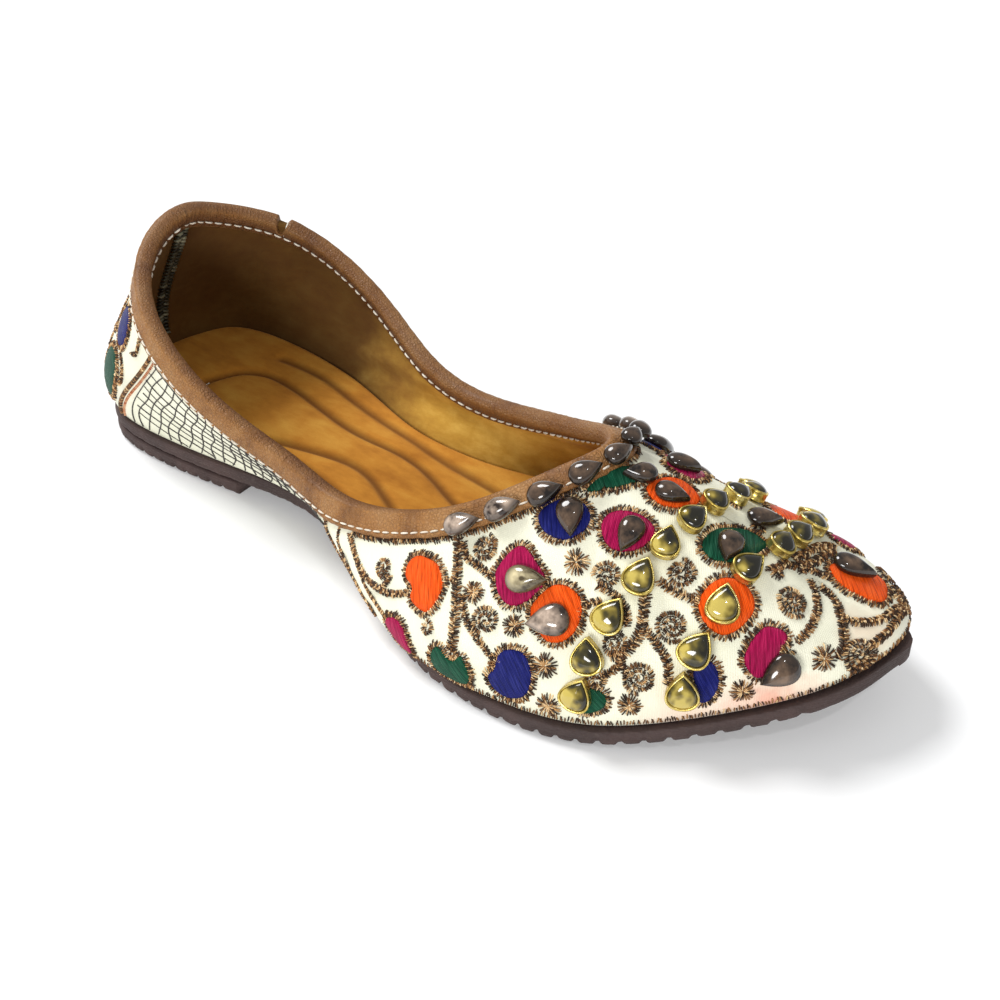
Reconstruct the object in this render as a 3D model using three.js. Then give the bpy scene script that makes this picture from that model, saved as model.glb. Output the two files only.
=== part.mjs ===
// A mojari, a flat slip-on shoe with a pointed toe, for the right foot.
// Millimetres. +X runs from heel to toe, +Y to the wearer's left, +Z up.
import * as THREE from 'three';
import { mergeVertices } from 'three/addons/utils/BufferGeometryUtils.js';

// Driving dimensions
const LENGTH = 250;
const SWING = 15;
const SWING_SHARPNESS = 1.6;
const TOE_SPRING = 15;
const SPRING_START = 180;
const WALL = 2;
const GAP = 0.42;
const SOLE_THICKNESS = 4.3;
const SOLE_GAP = 0.3;
const HEEL_LIFT_END = 64;
const SIDE_BULGE = 0.3;
const SIDE_TUCK = 0.5;
const SIDE_MIDDLE = 0.55;
const RIB = { pitch: 4.6, depth: 0.9, floorHalf: 0.5, mouthHalf: 0.95, clear: 0.4 };
const INSOLE = {
  thickness: 2.6, crown: 0.7, inset: 2.5, edgeTuck: 0.9, crownShare: 0.55, lift: 0.05, end: 240,
};
const BINDING = { thickness: 1, outside: 6, inside: 5, foldShare: 0.75 };
const TOE_POINT = { reach: 1.6, half: 0.28 };
const RIDGE_SLOPE = 0.3;

// The shoe's stations, from the middle of the back round either side to the toe's tip. Each row has
// the sole edge (how far from the back, half width, height before toe spring, shift to the right),
// the top line (collar as far as the throat's middle, then the ridge of the vamp), the wall's shape
// (pull at the foot, lean outwards, pull at the top, roll inwards, sweep towards the heel, in mm and
// degrees) and how far the sole stands out beyond the upper, on the right and on the left.
const STATION_COLUMNS = [
  'name', 'edgeX', 'edgeHalf', 'edgeZ', 'edgeShift', 'topX', 'topHalf', 'topZ',
  'footPull', 'lean', 'topPull', 'roll', 'sweep', 'ledgeRight', 'ledgeLeft',
];
const STATIONS = [
  ['heel back', 0.4, 0, 10, 0, 19, 0, 64.2, 21, 21, 14, 14, 0, 1.2, 1.2],
  ['heel corner', 4.2, 19.2, 9.9, 1, 20.5, 13.5, 60.5, 18, 21, 15, 12, 0, 0.5, 0.8],
  ['heel side', 20, 30.3, 9.4, 1.5, 37.5, 30.5, 52.2, 16.5, 18.5, 14, 19, 0, 1, 1],
  ['quarter', 61, 28, 9.2, -1, 66.5, 35, 38.9, 12, 16, 10.5, 15.5, 0, 1, 1],
  ['waist', 95, 23.5, 8.4, 0, 93, 30.5, 28.5, 9, 22, 8, 8, 0, -1, -1],
  ['shank', 125, 32, 6.2, 3, 116, 30, 25.8, 9.7, 26.5, 7.7, 16.5, 0, -2.5, -2.5],
  ['throat corner', 146, 40, 5, 2.5, 140, 26.5, 32.3, 9.8, 22.5, 9.5, 36, 5, -1.5, -1.5],
  ['throat turn', 163, 42, 4.6, 1.8, 157, 19.3, 40.3, 11.8, 20, 12.5, 54, 12, 0.5, 0.5],
  ['throat front', 179, 42, 4.6, 1.2, 171, 9.3, 49.1, 11, 18, 13.2, 70, 20, 1.8, 1.5],
  ['throat middle', 195, 40, 4.6, 1.2, 176.5, 0, 51.9, 12.8, 16, 16.5, 82, 16, 2, 1.5],
  ['vamp', 211, 34.5, 4.8, 1, 189, 0, 48.7, 14, 14, 16.5, 80, 8, 2, 1.2],
  ['toe side', 229.5, 25.5, 5, 0.5, 209.5, 0, 41.6, 15.5, 13.5, 14.5, 75, 3, 2, 0.4],
  ['toe corner', 243, 15, 5, 0.5, 222.5, 0, 35.4, 9.7, 10, 12.4, 63, 0, 2, -1],
  ['toe tip', 248.5, 0, 5.3, 0, 228, 0, 32, 6, 7, 11, 58, 0, 0.8, 0.8],
];
const THROAT_MIDDLE = 9;

// Stones. Each sits on the upper at a station number and a rise from the sole edge (0) to the top
// line (1), and its tip is turned from the toe's direction up the wall, in degrees. Station numbers
// beyond the toe's tip count back along the left side.
const STONE_COLUMNS = ['station', 'rise', 'turn', 'length', 'width'];
const THROAT_STONES = [
  [6.79, 0.87, 34, 9.6, 5.6],
  [7.31, 0.885, 40, 9.6, 5.8],
  [7.86, 0.88, 43, 9.2, 6],
  [8.48, 0.905, 54, 8.6, 5.8],
  [9.22, 0.96, 68, 7.6, 5.4],
  [17, 0.895, 100, 7.2, 5.2],
  [17.62, 0.85, 124, 8.8, 5.8],
  [18.17, 0.83, 137, 9.4, 5.8],
  [18.72, 0.815, 141, 9.6, 5.8],
];
const KUNDAN_A = [
  [9.04, 0.195, 81, 8.4, 7.6],
  [9.12, 0.33, 109, 9, 7.6],
  [9.37, 0.46, 80, 9.2, 7.6],
  [9.75, 0.59, 90, 9.2, 7.6],
  [10.08, 0.72, 102, 8, 7],
  [10.42, 0.865, 76, 7.4, 6.8],
  [15.38, 0.96, 82, 7.2, 6.8],
  [15.46, 0.785, 76, 7.2, 6.8],
  [15.62, 0.64, 92, 7.8, 7],
  [15.97, 0.525, 80, 8.6, 7.4],
  [16.38, 0.415, 96, 9, 7.6],
  [16.74, 0.285, 82, 9, 7.6],
  [16.94, 0.15, 98, 8.2, 7.6],
];
const KUNDAN_B = [
  [10.26, 0.205, 102, 8.8, 7.8],
  [10.39, 0.37, 77, 9.4, 7.8],
  [10.66, 0.55, 105, 9.4, 7.8],
  [10.99, 0.75, 74, 8.4, 7],
  [14.5, 0.95, 100, 7.6, 6.8],
  [14.7, 0.755, 80, 8, 7],
  [14.98, 0.58, 98, 8.8, 7.6],
  [15.38, 0.405, 80, 9.2, 7.8],
  [15.7, 0.21, 98, 8.8, 7.8],
];
const DROPS = [
  [8.33, 0.755, -61, 9.4, 6.6],
  [9.55, 0.705, -88, 9, 6.2],
  [9.7, 0.945, -137, 8.4, 5.4],
  [10.18, 0.93, 17, 8.6, 5.2],
  [16.18, 0.805, 38, 9, 5.4],
  [10.8, 0.815, -74, 8.2, 6.4],
  [14.99, 0.845, 46, 9.6, 5.2],
  [7.9, 0.565, 19, 10.6, 6.6],
  [8.39, 0.43, -149, 10.9, 7.6],
  [11.17, 0.24, -131, 9.9, 7.4],
  [14.06, 0.6, 26, 11, 5.6],
  [17.67, 0.69, 61, 9.4, 6.6],
  [18.1, 0.565, -19, 10.6, 6.6],
  [17.61, 0.43, 149, 10.9, 7.6],
];
// Height of each level of a stone above its flat back, and its outline's share of the full size
const SETTING_LEVELS = [[0, 0.96], [2.1, 1], [2.4, 0.86], [3.3, 0.5]];
const SETTING_CROWN = 3.6;
const DROP_LEVELS = [[0, 0.86], [1.1, 1], [2.5, 0.72]];
const DROP_CROWN = 3.4;
const STONE_SIDES = 10;
const CROWN_SET_BACK = 0.06;
// The largest value of sin(angle) * sin(angle / 2), the drop outline's half width
const DROP_PEAK = 0.77;

// Fineness
const STEPS = 4;
const ROWS = 8;
const FINE_STEPS = 12;
const FINE_ROWS = 36;

const material = (color, roughness, metalness = 0) =>
  new THREE.MeshStandardMaterial({ color, roughness, metalness });
const silk = material(0xe9e2cf, 0.6);
const leather = material(0x9a6a44, 0.5);
const rubber = material(0x4b3734, 0.85);
const suede = material(0xbf8838, 0.9);
const darkGlass = material(0x4c4640, 0.1);
const gold = material(0xb9a340, 0.3, 0.8);

// Splines through evenly numbered rows of values
const hermite = (p, q, m, n, t) => {
  const t2 = t * t;
  const t3 = t2 * t;
  return (2 * t3 - 3 * t2 + 1) * p + (t3 - 2 * t2 + t) * m + (3 * t2 - 2 * t3) * q + (t3 - t2) * n;
};

const SLOPE_ROUNDS = 60;

function spline(rows, closed) {
  const count = rows.length;
  const width = rows[0].length;
  const slopes = rows.map(() => new Array(width).fill(0));
  const at = (i) => (i + count) % count;
  for (let round = 0; round < SLOPE_ROUNDS; round += 1) {
    for (let i = 0; i < count; i += 1) {
      for (let k = 0; k < width; k += 1) {
        if (!closed && i === 0) {
          slopes[i][k] = (3 * (rows[1][k] - rows[0][k]) - slopes[1][k]) / 2;
        } else if (!closed && i === count - 1) {
          slopes[i][k] = (3 * (rows[i][k] - rows[i - 1][k]) - slopes[i - 1][k]) / 2;
        } else {
          const rise = rows[at(i + 1)][k] - rows[at(i - 1)][k];
          slopes[i][k] = (3 * rise - slopes[at(i + 1)][k] - slopes[at(i - 1)][k]) / 4;
        }
      }
    }
  }
  return (s) => {
    const last = closed ? count : count - 1;
    const whole = Math.min(Math.floor(s), last - 1);
    const i = at(whole);
    const j = at(whole + 1);
    return rows[i].map((p, k) => hermite(p, rows[j][k], slopes[i][k], slopes[j][k], s - whole));
  };
}

const named = (columns, row) => Object.fromEntries(columns.map((name, i) => [name, row[i]]));
const stations = STATIONS.map((row) => named(STATION_COLUMNS, row));
const TIP = stations.length - 1;
const ROUND = 2 * TIP;
const RIGHT = -1;
const LEFT = 1;

const clamp = (value, low, high) => Math.min(Math.max(value, low), high);
const centreLine = (x) => -SWING * Math.sin(Math.PI * clamp(x / LENGTH, 0, 1) ** SWING_SHARPNESS);
const toeSpring = (x) => {
  const share = clamp((x - SPRING_START) / (stations[TIP].edgeX - SPRING_START), 0, 1.05);
  return TOE_SPRING * share ** 2;
};

const edgeRow = (row, side) => [
  row.edgeX,
  centreLine(row.edgeX) + side * row.edgeHalf - row.edgeShift,
  row.edgeZ + toeSpring(row.edgeX),
];
const topRow = (row, side) => [row.topX, centreLine(row.topX) + side * row.topHalf, row.topZ];
const wallRow = (row, side) => [
  row.footPull, row.lean, row.topPull, row.roll, row.sweep,
  side === RIGHT ? row.ledgeRight : row.ledgeLeft,
];
const bothSides = (rows, makeRow) => [
  ...rows.map((row) => makeRow(row, RIGHT)),
  ...rows.slice(1, -1).reverse().map((row) => makeRow(row, LEFT)),
];

const edgeSpline = spline(bothSides(stations, edgeRow), true);
const wallSpline = spline(bothSides(stations, wallRow), true);
const collarStations = stations.slice(0, THROAT_MIDDLE + 1);
const collarSpline = spline(bothSides(collarStations, topRow), true);
const COLLAR_ROUND = 2 * THROAT_MIDDLE;
const ridgeSpline = spline(stations.slice(THROAT_MIDDLE).map((row) => topRow(row, RIGHT)), false);

const onRidge = (s) => s > THROAT_MIDDLE - 1e-9 && s < ROUND - THROAT_MIDDLE + 1e-9;

function topLine(s) {
  if (onRidge(s)) {
    return new THREE.Vector3(...ridgeSpline(Math.min(s, ROUND - s) - THROAT_MIDDLE));
  }
  return new THREE.Vector3(...collarSpline(s < THROAT_MIDDLE ? s : s - ROUND + COLLAR_ROUND));
}

const TANGENT_STEP = 0.01;
const around = (s, round) => (s + round) % round;

function edgeOutward(s) {
  const before = edgeSpline(around(s - TANGENT_STEP, ROUND));
  const after = edgeSpline(around(s + TANGENT_STEP, ROUND));
  return new THREE.Vector3(after[1] - before[1], before[0] - after[0], 0).normalize();
}

const UP = new THREE.Vector3(0, 0, 1);
const HEELWARD = new THREE.Vector3(-1, 0, RIDGE_SLOPE);
const radians = THREE.MathUtils.degToRad;

// A point of the upper's outer face: a curve from the sole edge to the top line at every station
function wallCurve(s) {
  const [footPull, lean, topPull, roll, sweep] = wallSpline(s);
  const outward = edgeOutward(s);
  const foot = new THREE.Vector3(...edgeSpline(s));
  const top = topLine(s);
  const rise = UP.clone().multiplyScalar(Math.cos(radians(lean)));
  rise.addScaledVector(outward, Math.sin(radians(lean)));
  const inward = outward.clone().multiplyScalar(-Math.cos(radians(sweep)));
  inward.addScaledVector(HEELWARD, Math.sin(radians(sweep)));
  const arrive = UP.clone().multiplyScalar(Math.cos(radians(roll)));
  arrive.addScaledVector(inward, Math.sin(radians(roll)));
  return new THREE.CubicBezierCurve3(
    foot,
    foot.clone().addScaledVector(rise, footPull),
    top.clone().addScaledVector(arrive, -topPull),
    top,
  );
}

// The outer face as a grid of points with their normals. Left and right meet on the ridge.
function makeSkin(steps, rows) {
  const columns = ROUND * steps;
  const positions = [];
  for (let i = 0; i < columns; i += 1) {
    const curve = wallCurve(i / steps);
    for (let j = 0; j <= rows; j += 1) {
      positions.push(...curve.getPoint(j / rows).toArray());
    }
  }
  const vertex = (i, j) => {
    const column = i % columns;
    const shared = j === rows && onRidge(column / steps) ? Math.min(column, columns - column) : column;
    return shared * (rows + 1) + j;
  };
  const faces = [];
  for (let i = 0; i < columns; i += 1) {
    for (let j = 0; j < rows; j += 1) {
      faces.push([vertex(i, j), vertex(i + 1, j), vertex(i + 1, j + 1)]);
      faces.push([vertex(i, j), vertex(i + 1, j + 1), vertex(i, j + 1)]);
    }
  }
  const geometry = new THREE.BufferGeometry();
  geometry.setAttribute('position', new THREE.Float32BufferAttribute(positions, 3));
  geometry.setIndex(faces.flat());
  geometry.computeVertexNormals();
  const read = (attribute, index) => new THREE.Vector3().fromBufferAttribute(attribute, index);
  const point = (i, j) => read(geometry.attributes.position, vertex(i, j));
  const normal = (i, j) => read(geometry.attributes.normal, vertex(i, j));
  return { columns, rows, steps, vertex, faces, point, normal };
}

const coarse = makeSkin(STEPS, ROWS);
const fine = makeSkin(FINE_STEPS, FINE_ROWS);
const finePoints = [];
for (let i = 0; i < fine.columns; i += 1) {
  for (let j = 0; j <= fine.rows; j += 1) {
    finePoints.push({ point: fine.point(i, j), normal: fine.normal(i, j) });
  }
}

// The nearest place on the outer face
function footOnSkin(place) {
  let best = finePoints[0];
  let nearest = Infinity;
  for (const candidate of finePoints) {
    const distance = candidate.point.distanceToSquared(place);
    if (distance < nearest) {
      nearest = distance;
      best = candidate;
    }
  }
  const lift = place.clone().sub(best.point).dot(best.normal);
  return { point: place.clone().addScaledVector(best.normal, -lift), normal: best.normal };
}

// A closed body from points and triangles
function body(points, faces) {
  const geometry = new THREE.BufferGeometry();
  const positions = points.flatMap((point) => point.toArray());
  geometry.setAttribute('position', new THREE.Float32BufferAttribute(positions, 3));
  geometry.setIndex(faces.flat());
  const merged = mergeVertices(geometry, 1e-3);
  const kept = [];
  const index = merged.index.array;
  for (let i = 0; i < index.length; i += 3) {
    const [a, b, c] = index.subarray(i, i + 3);
    if (a !== b && b !== c && c !== a) {
      kept.push(a, b, c);
    }
  }
  merged.setIndex(kept);
  const solid = merged.toNonIndexed();
  solid.computeVertexNormals();
  return solid;
}

// A body through rings of points, joined end to end or capped with a fan at both ends
function loft(rings, joined = false) {
  const size = rings[0].length;
  const faces = [];
  const links = joined ? rings.length : rings.length - 1;
  for (let r = 0; r < links; r += 1) {
    const next = (r + 1) % rings.length;
    for (let k = 0; k < size; k += 1) {
      const l = (k + 1) % size;
      faces.push([r * size + k, next * size + k, next * size + l]);
      faces.push([r * size + k, next * size + l, r * size + l]);
    }
  }
  if (!joined) {
    const last = (rings.length - 1) * size;
    for (let k = 1; k < size - 1; k += 1) {
      faces.push([0, k, k + 1]);
      faces.push([last, last + k + 1, last + k]);
    }
  }
  return body(rings.flat(), faces);
}

function makeUpper() {
  const outer = [];
  const inner = [];
  for (let i = 0; i < coarse.columns; i += 1) {
    for (let j = 0; j <= coarse.rows; j += 1) {
      const normal = coarse.normal(i, j);
      if (j === 0) {
        normal.setZ(0).normalize();
      }
      outer.push(coarse.point(i, j));
      inner.push(coarse.point(i, j).addScaledVector(normal, -WALL));
    }
  }
  const count = outer.length;
  const faces = coarse.faces.flatMap(([a, b, c]) => [[a, b, c], [count + a, count + c, count + b]]);
  const closeEdge = (a, b) => {
    faces.push([a, count + a, count + b]);
    faces.push([a, count + b, b]);
  };
  for (let i = 0; i < coarse.columns; i += 1) {
    closeEdge(coarse.vertex(i, 0), coarse.vertex(i + 1, 0));
    const middle = (i + 0.5) / coarse.steps;
    if (!onRidge(middle)) {
      closeEdge(coarse.vertex(i + 1, coarse.rows), coarse.vertex(i, coarse.rows));
    }
  }
  return body([...outer, ...inner], faces);
}

// The leather strip folded over the collar, measured down the wall from the edge and out from it
function makeBinding() {
  const { thickness, outside, inside, foldShare } = BINDING;
  const face = GAP + thickness;
  const back = -WALL - GAP;
  const section = [
    [outside, GAP], [outside, face], [0, face], [-face * foldShare, GAP], [-face, -WALL / 2],
    [-face * foldShare, back], [0, back - thickness], [inside, back - thickness], [inside, back],
    [-GAP, back], [-GAP, GAP], [outside / 2, GAP],
  ];
  const rings = [];
  const columns = COLLAR_ROUND * STEPS;
  for (let i = 0; i < columns; i += 1) {
    const s = i / STEPS;
    const edge = new THREE.Vector3(...collarSpline(s));
    const before = new THREE.Vector3(...collarSpline(around(s - TANGENT_STEP, COLLAR_ROUND)));
    const after = new THREE.Vector3(...collarSpline(around(s + TANGENT_STEP, COLLAR_ROUND)));
    const along = after.sub(before).normalize();
    const { normal } = footOnSkin(edge);
    const down = along.clone().cross(normal).normalize();
    rings.push(section.map(([drop, height]) => {
      const place = edge.clone().addScaledVector(down, drop);
      if (drop <= 0) {
        return place.addScaledVector(normal, height);
      }
      const foot = footOnSkin(place);
      return foot.point.addScaledVector(foot.normal, height);
    }));
  }
  return loft(rings, true);
}

// The sole edge moved outwards, read at a distance from the back as right, left and height
const OUTLINE_SAMPLES = 1040;

function outline(ledgeAt) {
  const points = [];
  for (let i = 0; i < OUTLINE_SAMPLES; i += 1) {
    const s = (i * ROUND) / OUTLINE_SAMPLES;
    const [x, y, z] = edgeSpline(s);
    const outward = edgeOutward(s).multiplyScalar(ledgeAt(s));
    points.push([x + outward.x, y + outward.y, z]);
  }
  const toe = OUTLINE_SAMPLES / 2;
  const right = points.slice(0, toe + 1);
  const left = [points[0], ...points.slice(toe).reverse()];
  const read = (chain, x) => {
    let i = 0;
    while (i < chain.length - 2 && chain[i + 1][0] < x) {
      i += 1;
    }
    const span = chain[i + 1][0] - chain[i][0];
    const t = clamp((x - chain[i][0]) / (span || 1), 0, 1);
    return chain[i].map((value, k) => value + (chain[i + 1][k] - value) * t);
  };
  const start = points[0][0];
  const end = points[toe][0];
  const at = (x) => {
    const [, rightY, z] = read(right, x);
    const [, leftY] = read(left, x);
    return { x, right: Math.min(rightY, leftY), left: Math.max(rightY, leftY), z };
  };
  return { start, end, at };
}

// Distances from the back that round off both ends of an outline, with even steps between
const NOSE = 14;
const NOSE_CUTS = 7;

function sectionsAlong(start, end, roundEnd, step) {
  const places = [];
  for (let i = 0; i <= NOSE_CUTS; i += 1) {
    places.push(start + NOSE * (i / NOSE_CUTS) ** 2);
  }
  for (let x = start + NOSE + step; x < end - NOSE - step / 2; x += step) {
    places.push(x);
  }
  for (let i = NOSE_CUTS; i >= 0; i -= 1) {
    places.push(end - NOSE * (i / NOSE_CUTS) ** (roundEnd ? 2 : 1));
  }
  return places;
}

// Adds the transverse ribs: four places for every groove between first and last
function withRibs(places, first, last) {
  const grooves = [];
  for (let x = first; x <= last; x += RIB.pitch) {
    grooves.push(x);
  }
  const offsets = [-RIB.mouthHalf, -RIB.floorHalf, RIB.floorHalf, RIB.mouthHalf];
  const ribbed = grooves.flatMap((x) => offsets.map((offset) => x + offset));
  const isClear = (x) => grooves.every((groove) => Math.abs(x - groove) > RIB.mouthHalf + RIB.clear);
  const clear = places.filter(isClear);
  const grooveDepth = (x) => {
    const away = Math.min(...grooves.map((groove) => Math.abs(x - groove)));
    const share = (RIB.mouthHalf - away) / (RIB.mouthHalf - RIB.floorHalf);
    return RIB.depth * clamp(share, 0, 1);
  };
  return { places: [...clear, ...ribbed].sort((a, b) => a - b), grooveDepth };
}

// One cross-section of a sole layer, widest a little below its top, narrower at the ground
function soleRing({ x, right, left }, top, bottom) {
  const half = (left - right) / 2;
  const centre = (left + right) / 2;
  const middle = bottom + (top - bottom) * SIDE_MIDDLE;
  const levels = [[top, 0], [middle, SIDE_BULGE], [bottom, -SIDE_TUCK]];
  const reach = ([z, out]) => [Math.max(half + (half > SIDE_TUCK ? out : 0), 0), z];
  const sides = levels.map(reach);
  return [
    ...sides.map(([y, z]) => new THREE.Vector3(x, centre + y, z)),
    ...sides.reverse().map(([y, z]) => new THREE.Vector3(x, centre - y, z)),
  ];
}

// The sole stands out by its ledge, with a small point at the toe's tip
const soleLedge = (s) => {
  const away = (s - TIP) / TOE_POINT.half;
  return wallSpline(s)[5] + TOE_POINT.reach * Math.exp(-away * away);
};
const soleOutline = outline(soleLedge);
const soleTop = (z) => z - SOLE_GAP;
const soleBottom = (z) => Math.max(z - SOLE_GAP - SOLE_THICKNESS, 0);
const SECTION_STEP = 8;
const FORE_RIBS = { first: 132, last: 240 };
const HEEL_RIBS = { first: 2.7, last: HEEL_LIFT_END - 2 };

function makeOutsole() {
  const plain = sectionsAlong(soleOutline.start, soleOutline.end, true, SECTION_STEP);
  const { places, grooveDepth } = withRibs(plain, FORE_RIBS.first, FORE_RIBS.last);
  return loft(places.map((x) => {
    const edge = soleOutline.at(x);
    return soleRing(edge, soleTop(edge.z), soleBottom(edge.z) + grooveDepth(x));
  }));
}

function makeHeelLift() {
  const plain = sectionsAlong(soleOutline.start, HEEL_LIFT_END, false, SECTION_STEP);
  const { places, grooveDepth } = withRibs(plain, HEEL_RIBS.first, HEEL_RIBS.last);
  return loft(places.map((x) => {
    const edge = soleOutline.at(x);
    return soleRing(edge, soleBottom(edge.z) - SOLE_GAP, grooveDepth(x));
  }));
}

function makeInsole() {
  const shape = outline(() => -INSOLE.inset);
  const places = sectionsAlong(shape.start, INSOLE.end, false, SECTION_STEP);
  return loft(places.map((x) => {
    const edge = shape.at(x);
    const half = (edge.left - edge.right) / 2;
    const centre = (edge.left + edge.right) / 2;
    const top = edge.z + INSOLE.thickness;
    const sides = [
      [Math.max(half * INSOLE.crownShare, 0), top + INSOLE.crown],
      [Math.max(half - INSOLE.edgeTuck, 0), top],
      [half, edge.z + INSOLE.thickness / 2],
      [half, edge.z + INSOLE.lift],
    ];
    return [
      ...sides.map(([y, z]) => new THREE.Vector3(x, centre + y, z)),
      ...sides.reverse().map(([y, z]) => new THREE.Vector3(x, centre - y, z)),
    ];
  }));
}

// A drop-shaped stone on a flat back, its tip along +X
function makeStone(length, width, levels, crown) {
  const rings = levels.map(([height, share]) => {
    const ring = [];
    for (let k = 0; k < STONE_SIDES; k += 1) {
      const angle = (2 * Math.PI * (k + 0.5)) / STONE_SIDES;
      const across = (Math.sin(angle) * Math.sin(angle / 2)) / DROP_PEAK;
      const x = (Math.cos(angle) * share * length) / 2;
      ring.push(new THREE.Vector3(x, (across * share * width) / 2, height));
    }
    return ring;
  });
  const faces = [];
  rings.forEach((ring, r) => {
    for (let k = 0; k < STONE_SIDES; k += 1) {
      const a = r * STONE_SIDES + k;
      const b = r * STONE_SIDES + ((k + 1) % STONE_SIDES);
      if (r === rings.length - 1) {
        faces.push([a, b, rings.length * STONE_SIDES]);
      } else {
        faces.push([a, b, b + STONE_SIDES], [a, b + STONE_SIDES, a + STONE_SIDES]);
      }
      if (r === 0 && k > 0 && k < STONE_SIDES - 1) {
        faces.push([0, k + 1, k]);
      }
    }
  });
  return body([...rings.flat(), new THREE.Vector3(-length * CROWN_SET_BACK, 0, crown)], faces);
}

// How far the upper rises above a stone's back plane within the stone's own reach
function highestUnder(stone, point, normal) {
  const under = finePoints.filter((entry) => entry.point.distanceTo(point) < stone.length / 2);
  return Math.max(0, ...under.map((entry) => entry.point.clone().sub(point).dot(normal)));
}

function placeOnSkin(mesh, stone, lift) {
  const place = wallCurve(stone.station).getPoint(stone.rise);
  const { point, normal } = footOnSkin(place);
  const toeward = new THREE.Vector3(1, 0, 0).addScaledVector(normal, -normal.x).normalize();
  const upward = normal.clone().cross(toeward);
  const tip = toeward.multiplyScalar(Math.cos(radians(stone.turn)));
  tip.addScaledVector(upward, Math.sin(radians(stone.turn)));
  const across = normal.clone().cross(tip);
  mesh.quaternion.setFromRotationMatrix(new THREE.Matrix4().makeBasis(tip, across, normal));
  mesh.position.copy(point).addScaledVector(normal, lift + highestUnder(stone, point, normal));
}

const shoe = new THREE.Group();
const pieces = new THREE.Group();
shoe.add(pieces);

function add(name, geometry, finish) {
  const mesh = new THREE.Mesh(geometry, finish);
  mesh.name = name;
  pieces.add(mesh);
  return mesh;
}

function addStones(prefix, table, finish, levels, crown, lift) {
  table.forEach((row, i) => {
    const stone = named(STONE_COLUMNS, row);
    const mesh = add(`${prefix}_${i + 1}`, makeStone(stone.length, stone.width, levels, crown), finish);
    placeOnSkin(mesh, stone, lift);
  });
}

add('upper', makeUpper(), silk);
add('binding', makeBinding(), leather);
add('outsole', makeOutsole(), rubber);
add('heel_lift', makeHeelLift(), rubber);
add('insole', makeInsole(), suede);

const ON_SKIN = 0.5;
const ON_BINDING = BINDING.thickness + GAP + 0.5;
addStones('throat_stone', THROAT_STONES, darkGlass, DROP_LEVELS, DROP_CROWN, ON_BINDING);
addStones('kundan_a', KUNDAN_A, gold, SETTING_LEVELS, SETTING_CROWN, ON_SKIN);
addStones('kundan_b', KUNDAN_B, gold, SETTING_LEVELS, SETTING_CROWN, ON_SKIN);
addStones('drop', DROPS, darkGlass, DROP_LEVELS, DROP_CROWN, ON_SKIN);

// The origin is under the middle of the whole shoe
const box = new THREE.Box3().setFromObject(pieces, true);
pieces.position.set(-(box.min.x + box.max.x) / 2, -(box.min.y + box.max.y) / 2, -box.min.z);

export default shoe;
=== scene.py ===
import math
import random

import bpy
import numpy as np
from mathutils import Matrix, Vector
from mathutils.bvhtree import BVHTree


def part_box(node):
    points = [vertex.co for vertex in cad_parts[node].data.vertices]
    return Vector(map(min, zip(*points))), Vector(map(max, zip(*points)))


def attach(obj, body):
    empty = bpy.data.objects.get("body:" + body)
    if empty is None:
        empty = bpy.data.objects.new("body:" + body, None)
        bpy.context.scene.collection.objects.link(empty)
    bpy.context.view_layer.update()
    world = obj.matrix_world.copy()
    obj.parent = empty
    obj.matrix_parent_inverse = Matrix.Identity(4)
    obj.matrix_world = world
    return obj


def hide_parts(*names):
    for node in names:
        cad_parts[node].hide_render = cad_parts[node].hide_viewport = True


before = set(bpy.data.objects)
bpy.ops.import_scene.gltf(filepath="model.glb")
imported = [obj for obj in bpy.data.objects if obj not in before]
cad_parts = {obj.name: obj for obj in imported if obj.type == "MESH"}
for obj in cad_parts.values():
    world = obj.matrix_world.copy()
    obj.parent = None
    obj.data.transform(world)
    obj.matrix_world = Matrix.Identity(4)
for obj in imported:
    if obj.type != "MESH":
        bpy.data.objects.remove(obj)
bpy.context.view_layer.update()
rng = random.Random(11)

# Driving dimensions, as in the solids
LENGTH = 250
SWING = 15
SWING_SHARPNESS = 1.6
TOE_SPRING = 15
SPRING_START = 180
WALL = 2
SOLE_THICKNESS = 4.3
SOLE_GAP = 0.3
HEEL_LIFT_END = 64
RIDGE_SLOPE = 0.3
# How far past the tip the toe spring keeps rising
SPRING_LIMIT = 1.05
# The step to either side over which a curve's direction is read
TANGENT_STEP = 0.01

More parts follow.
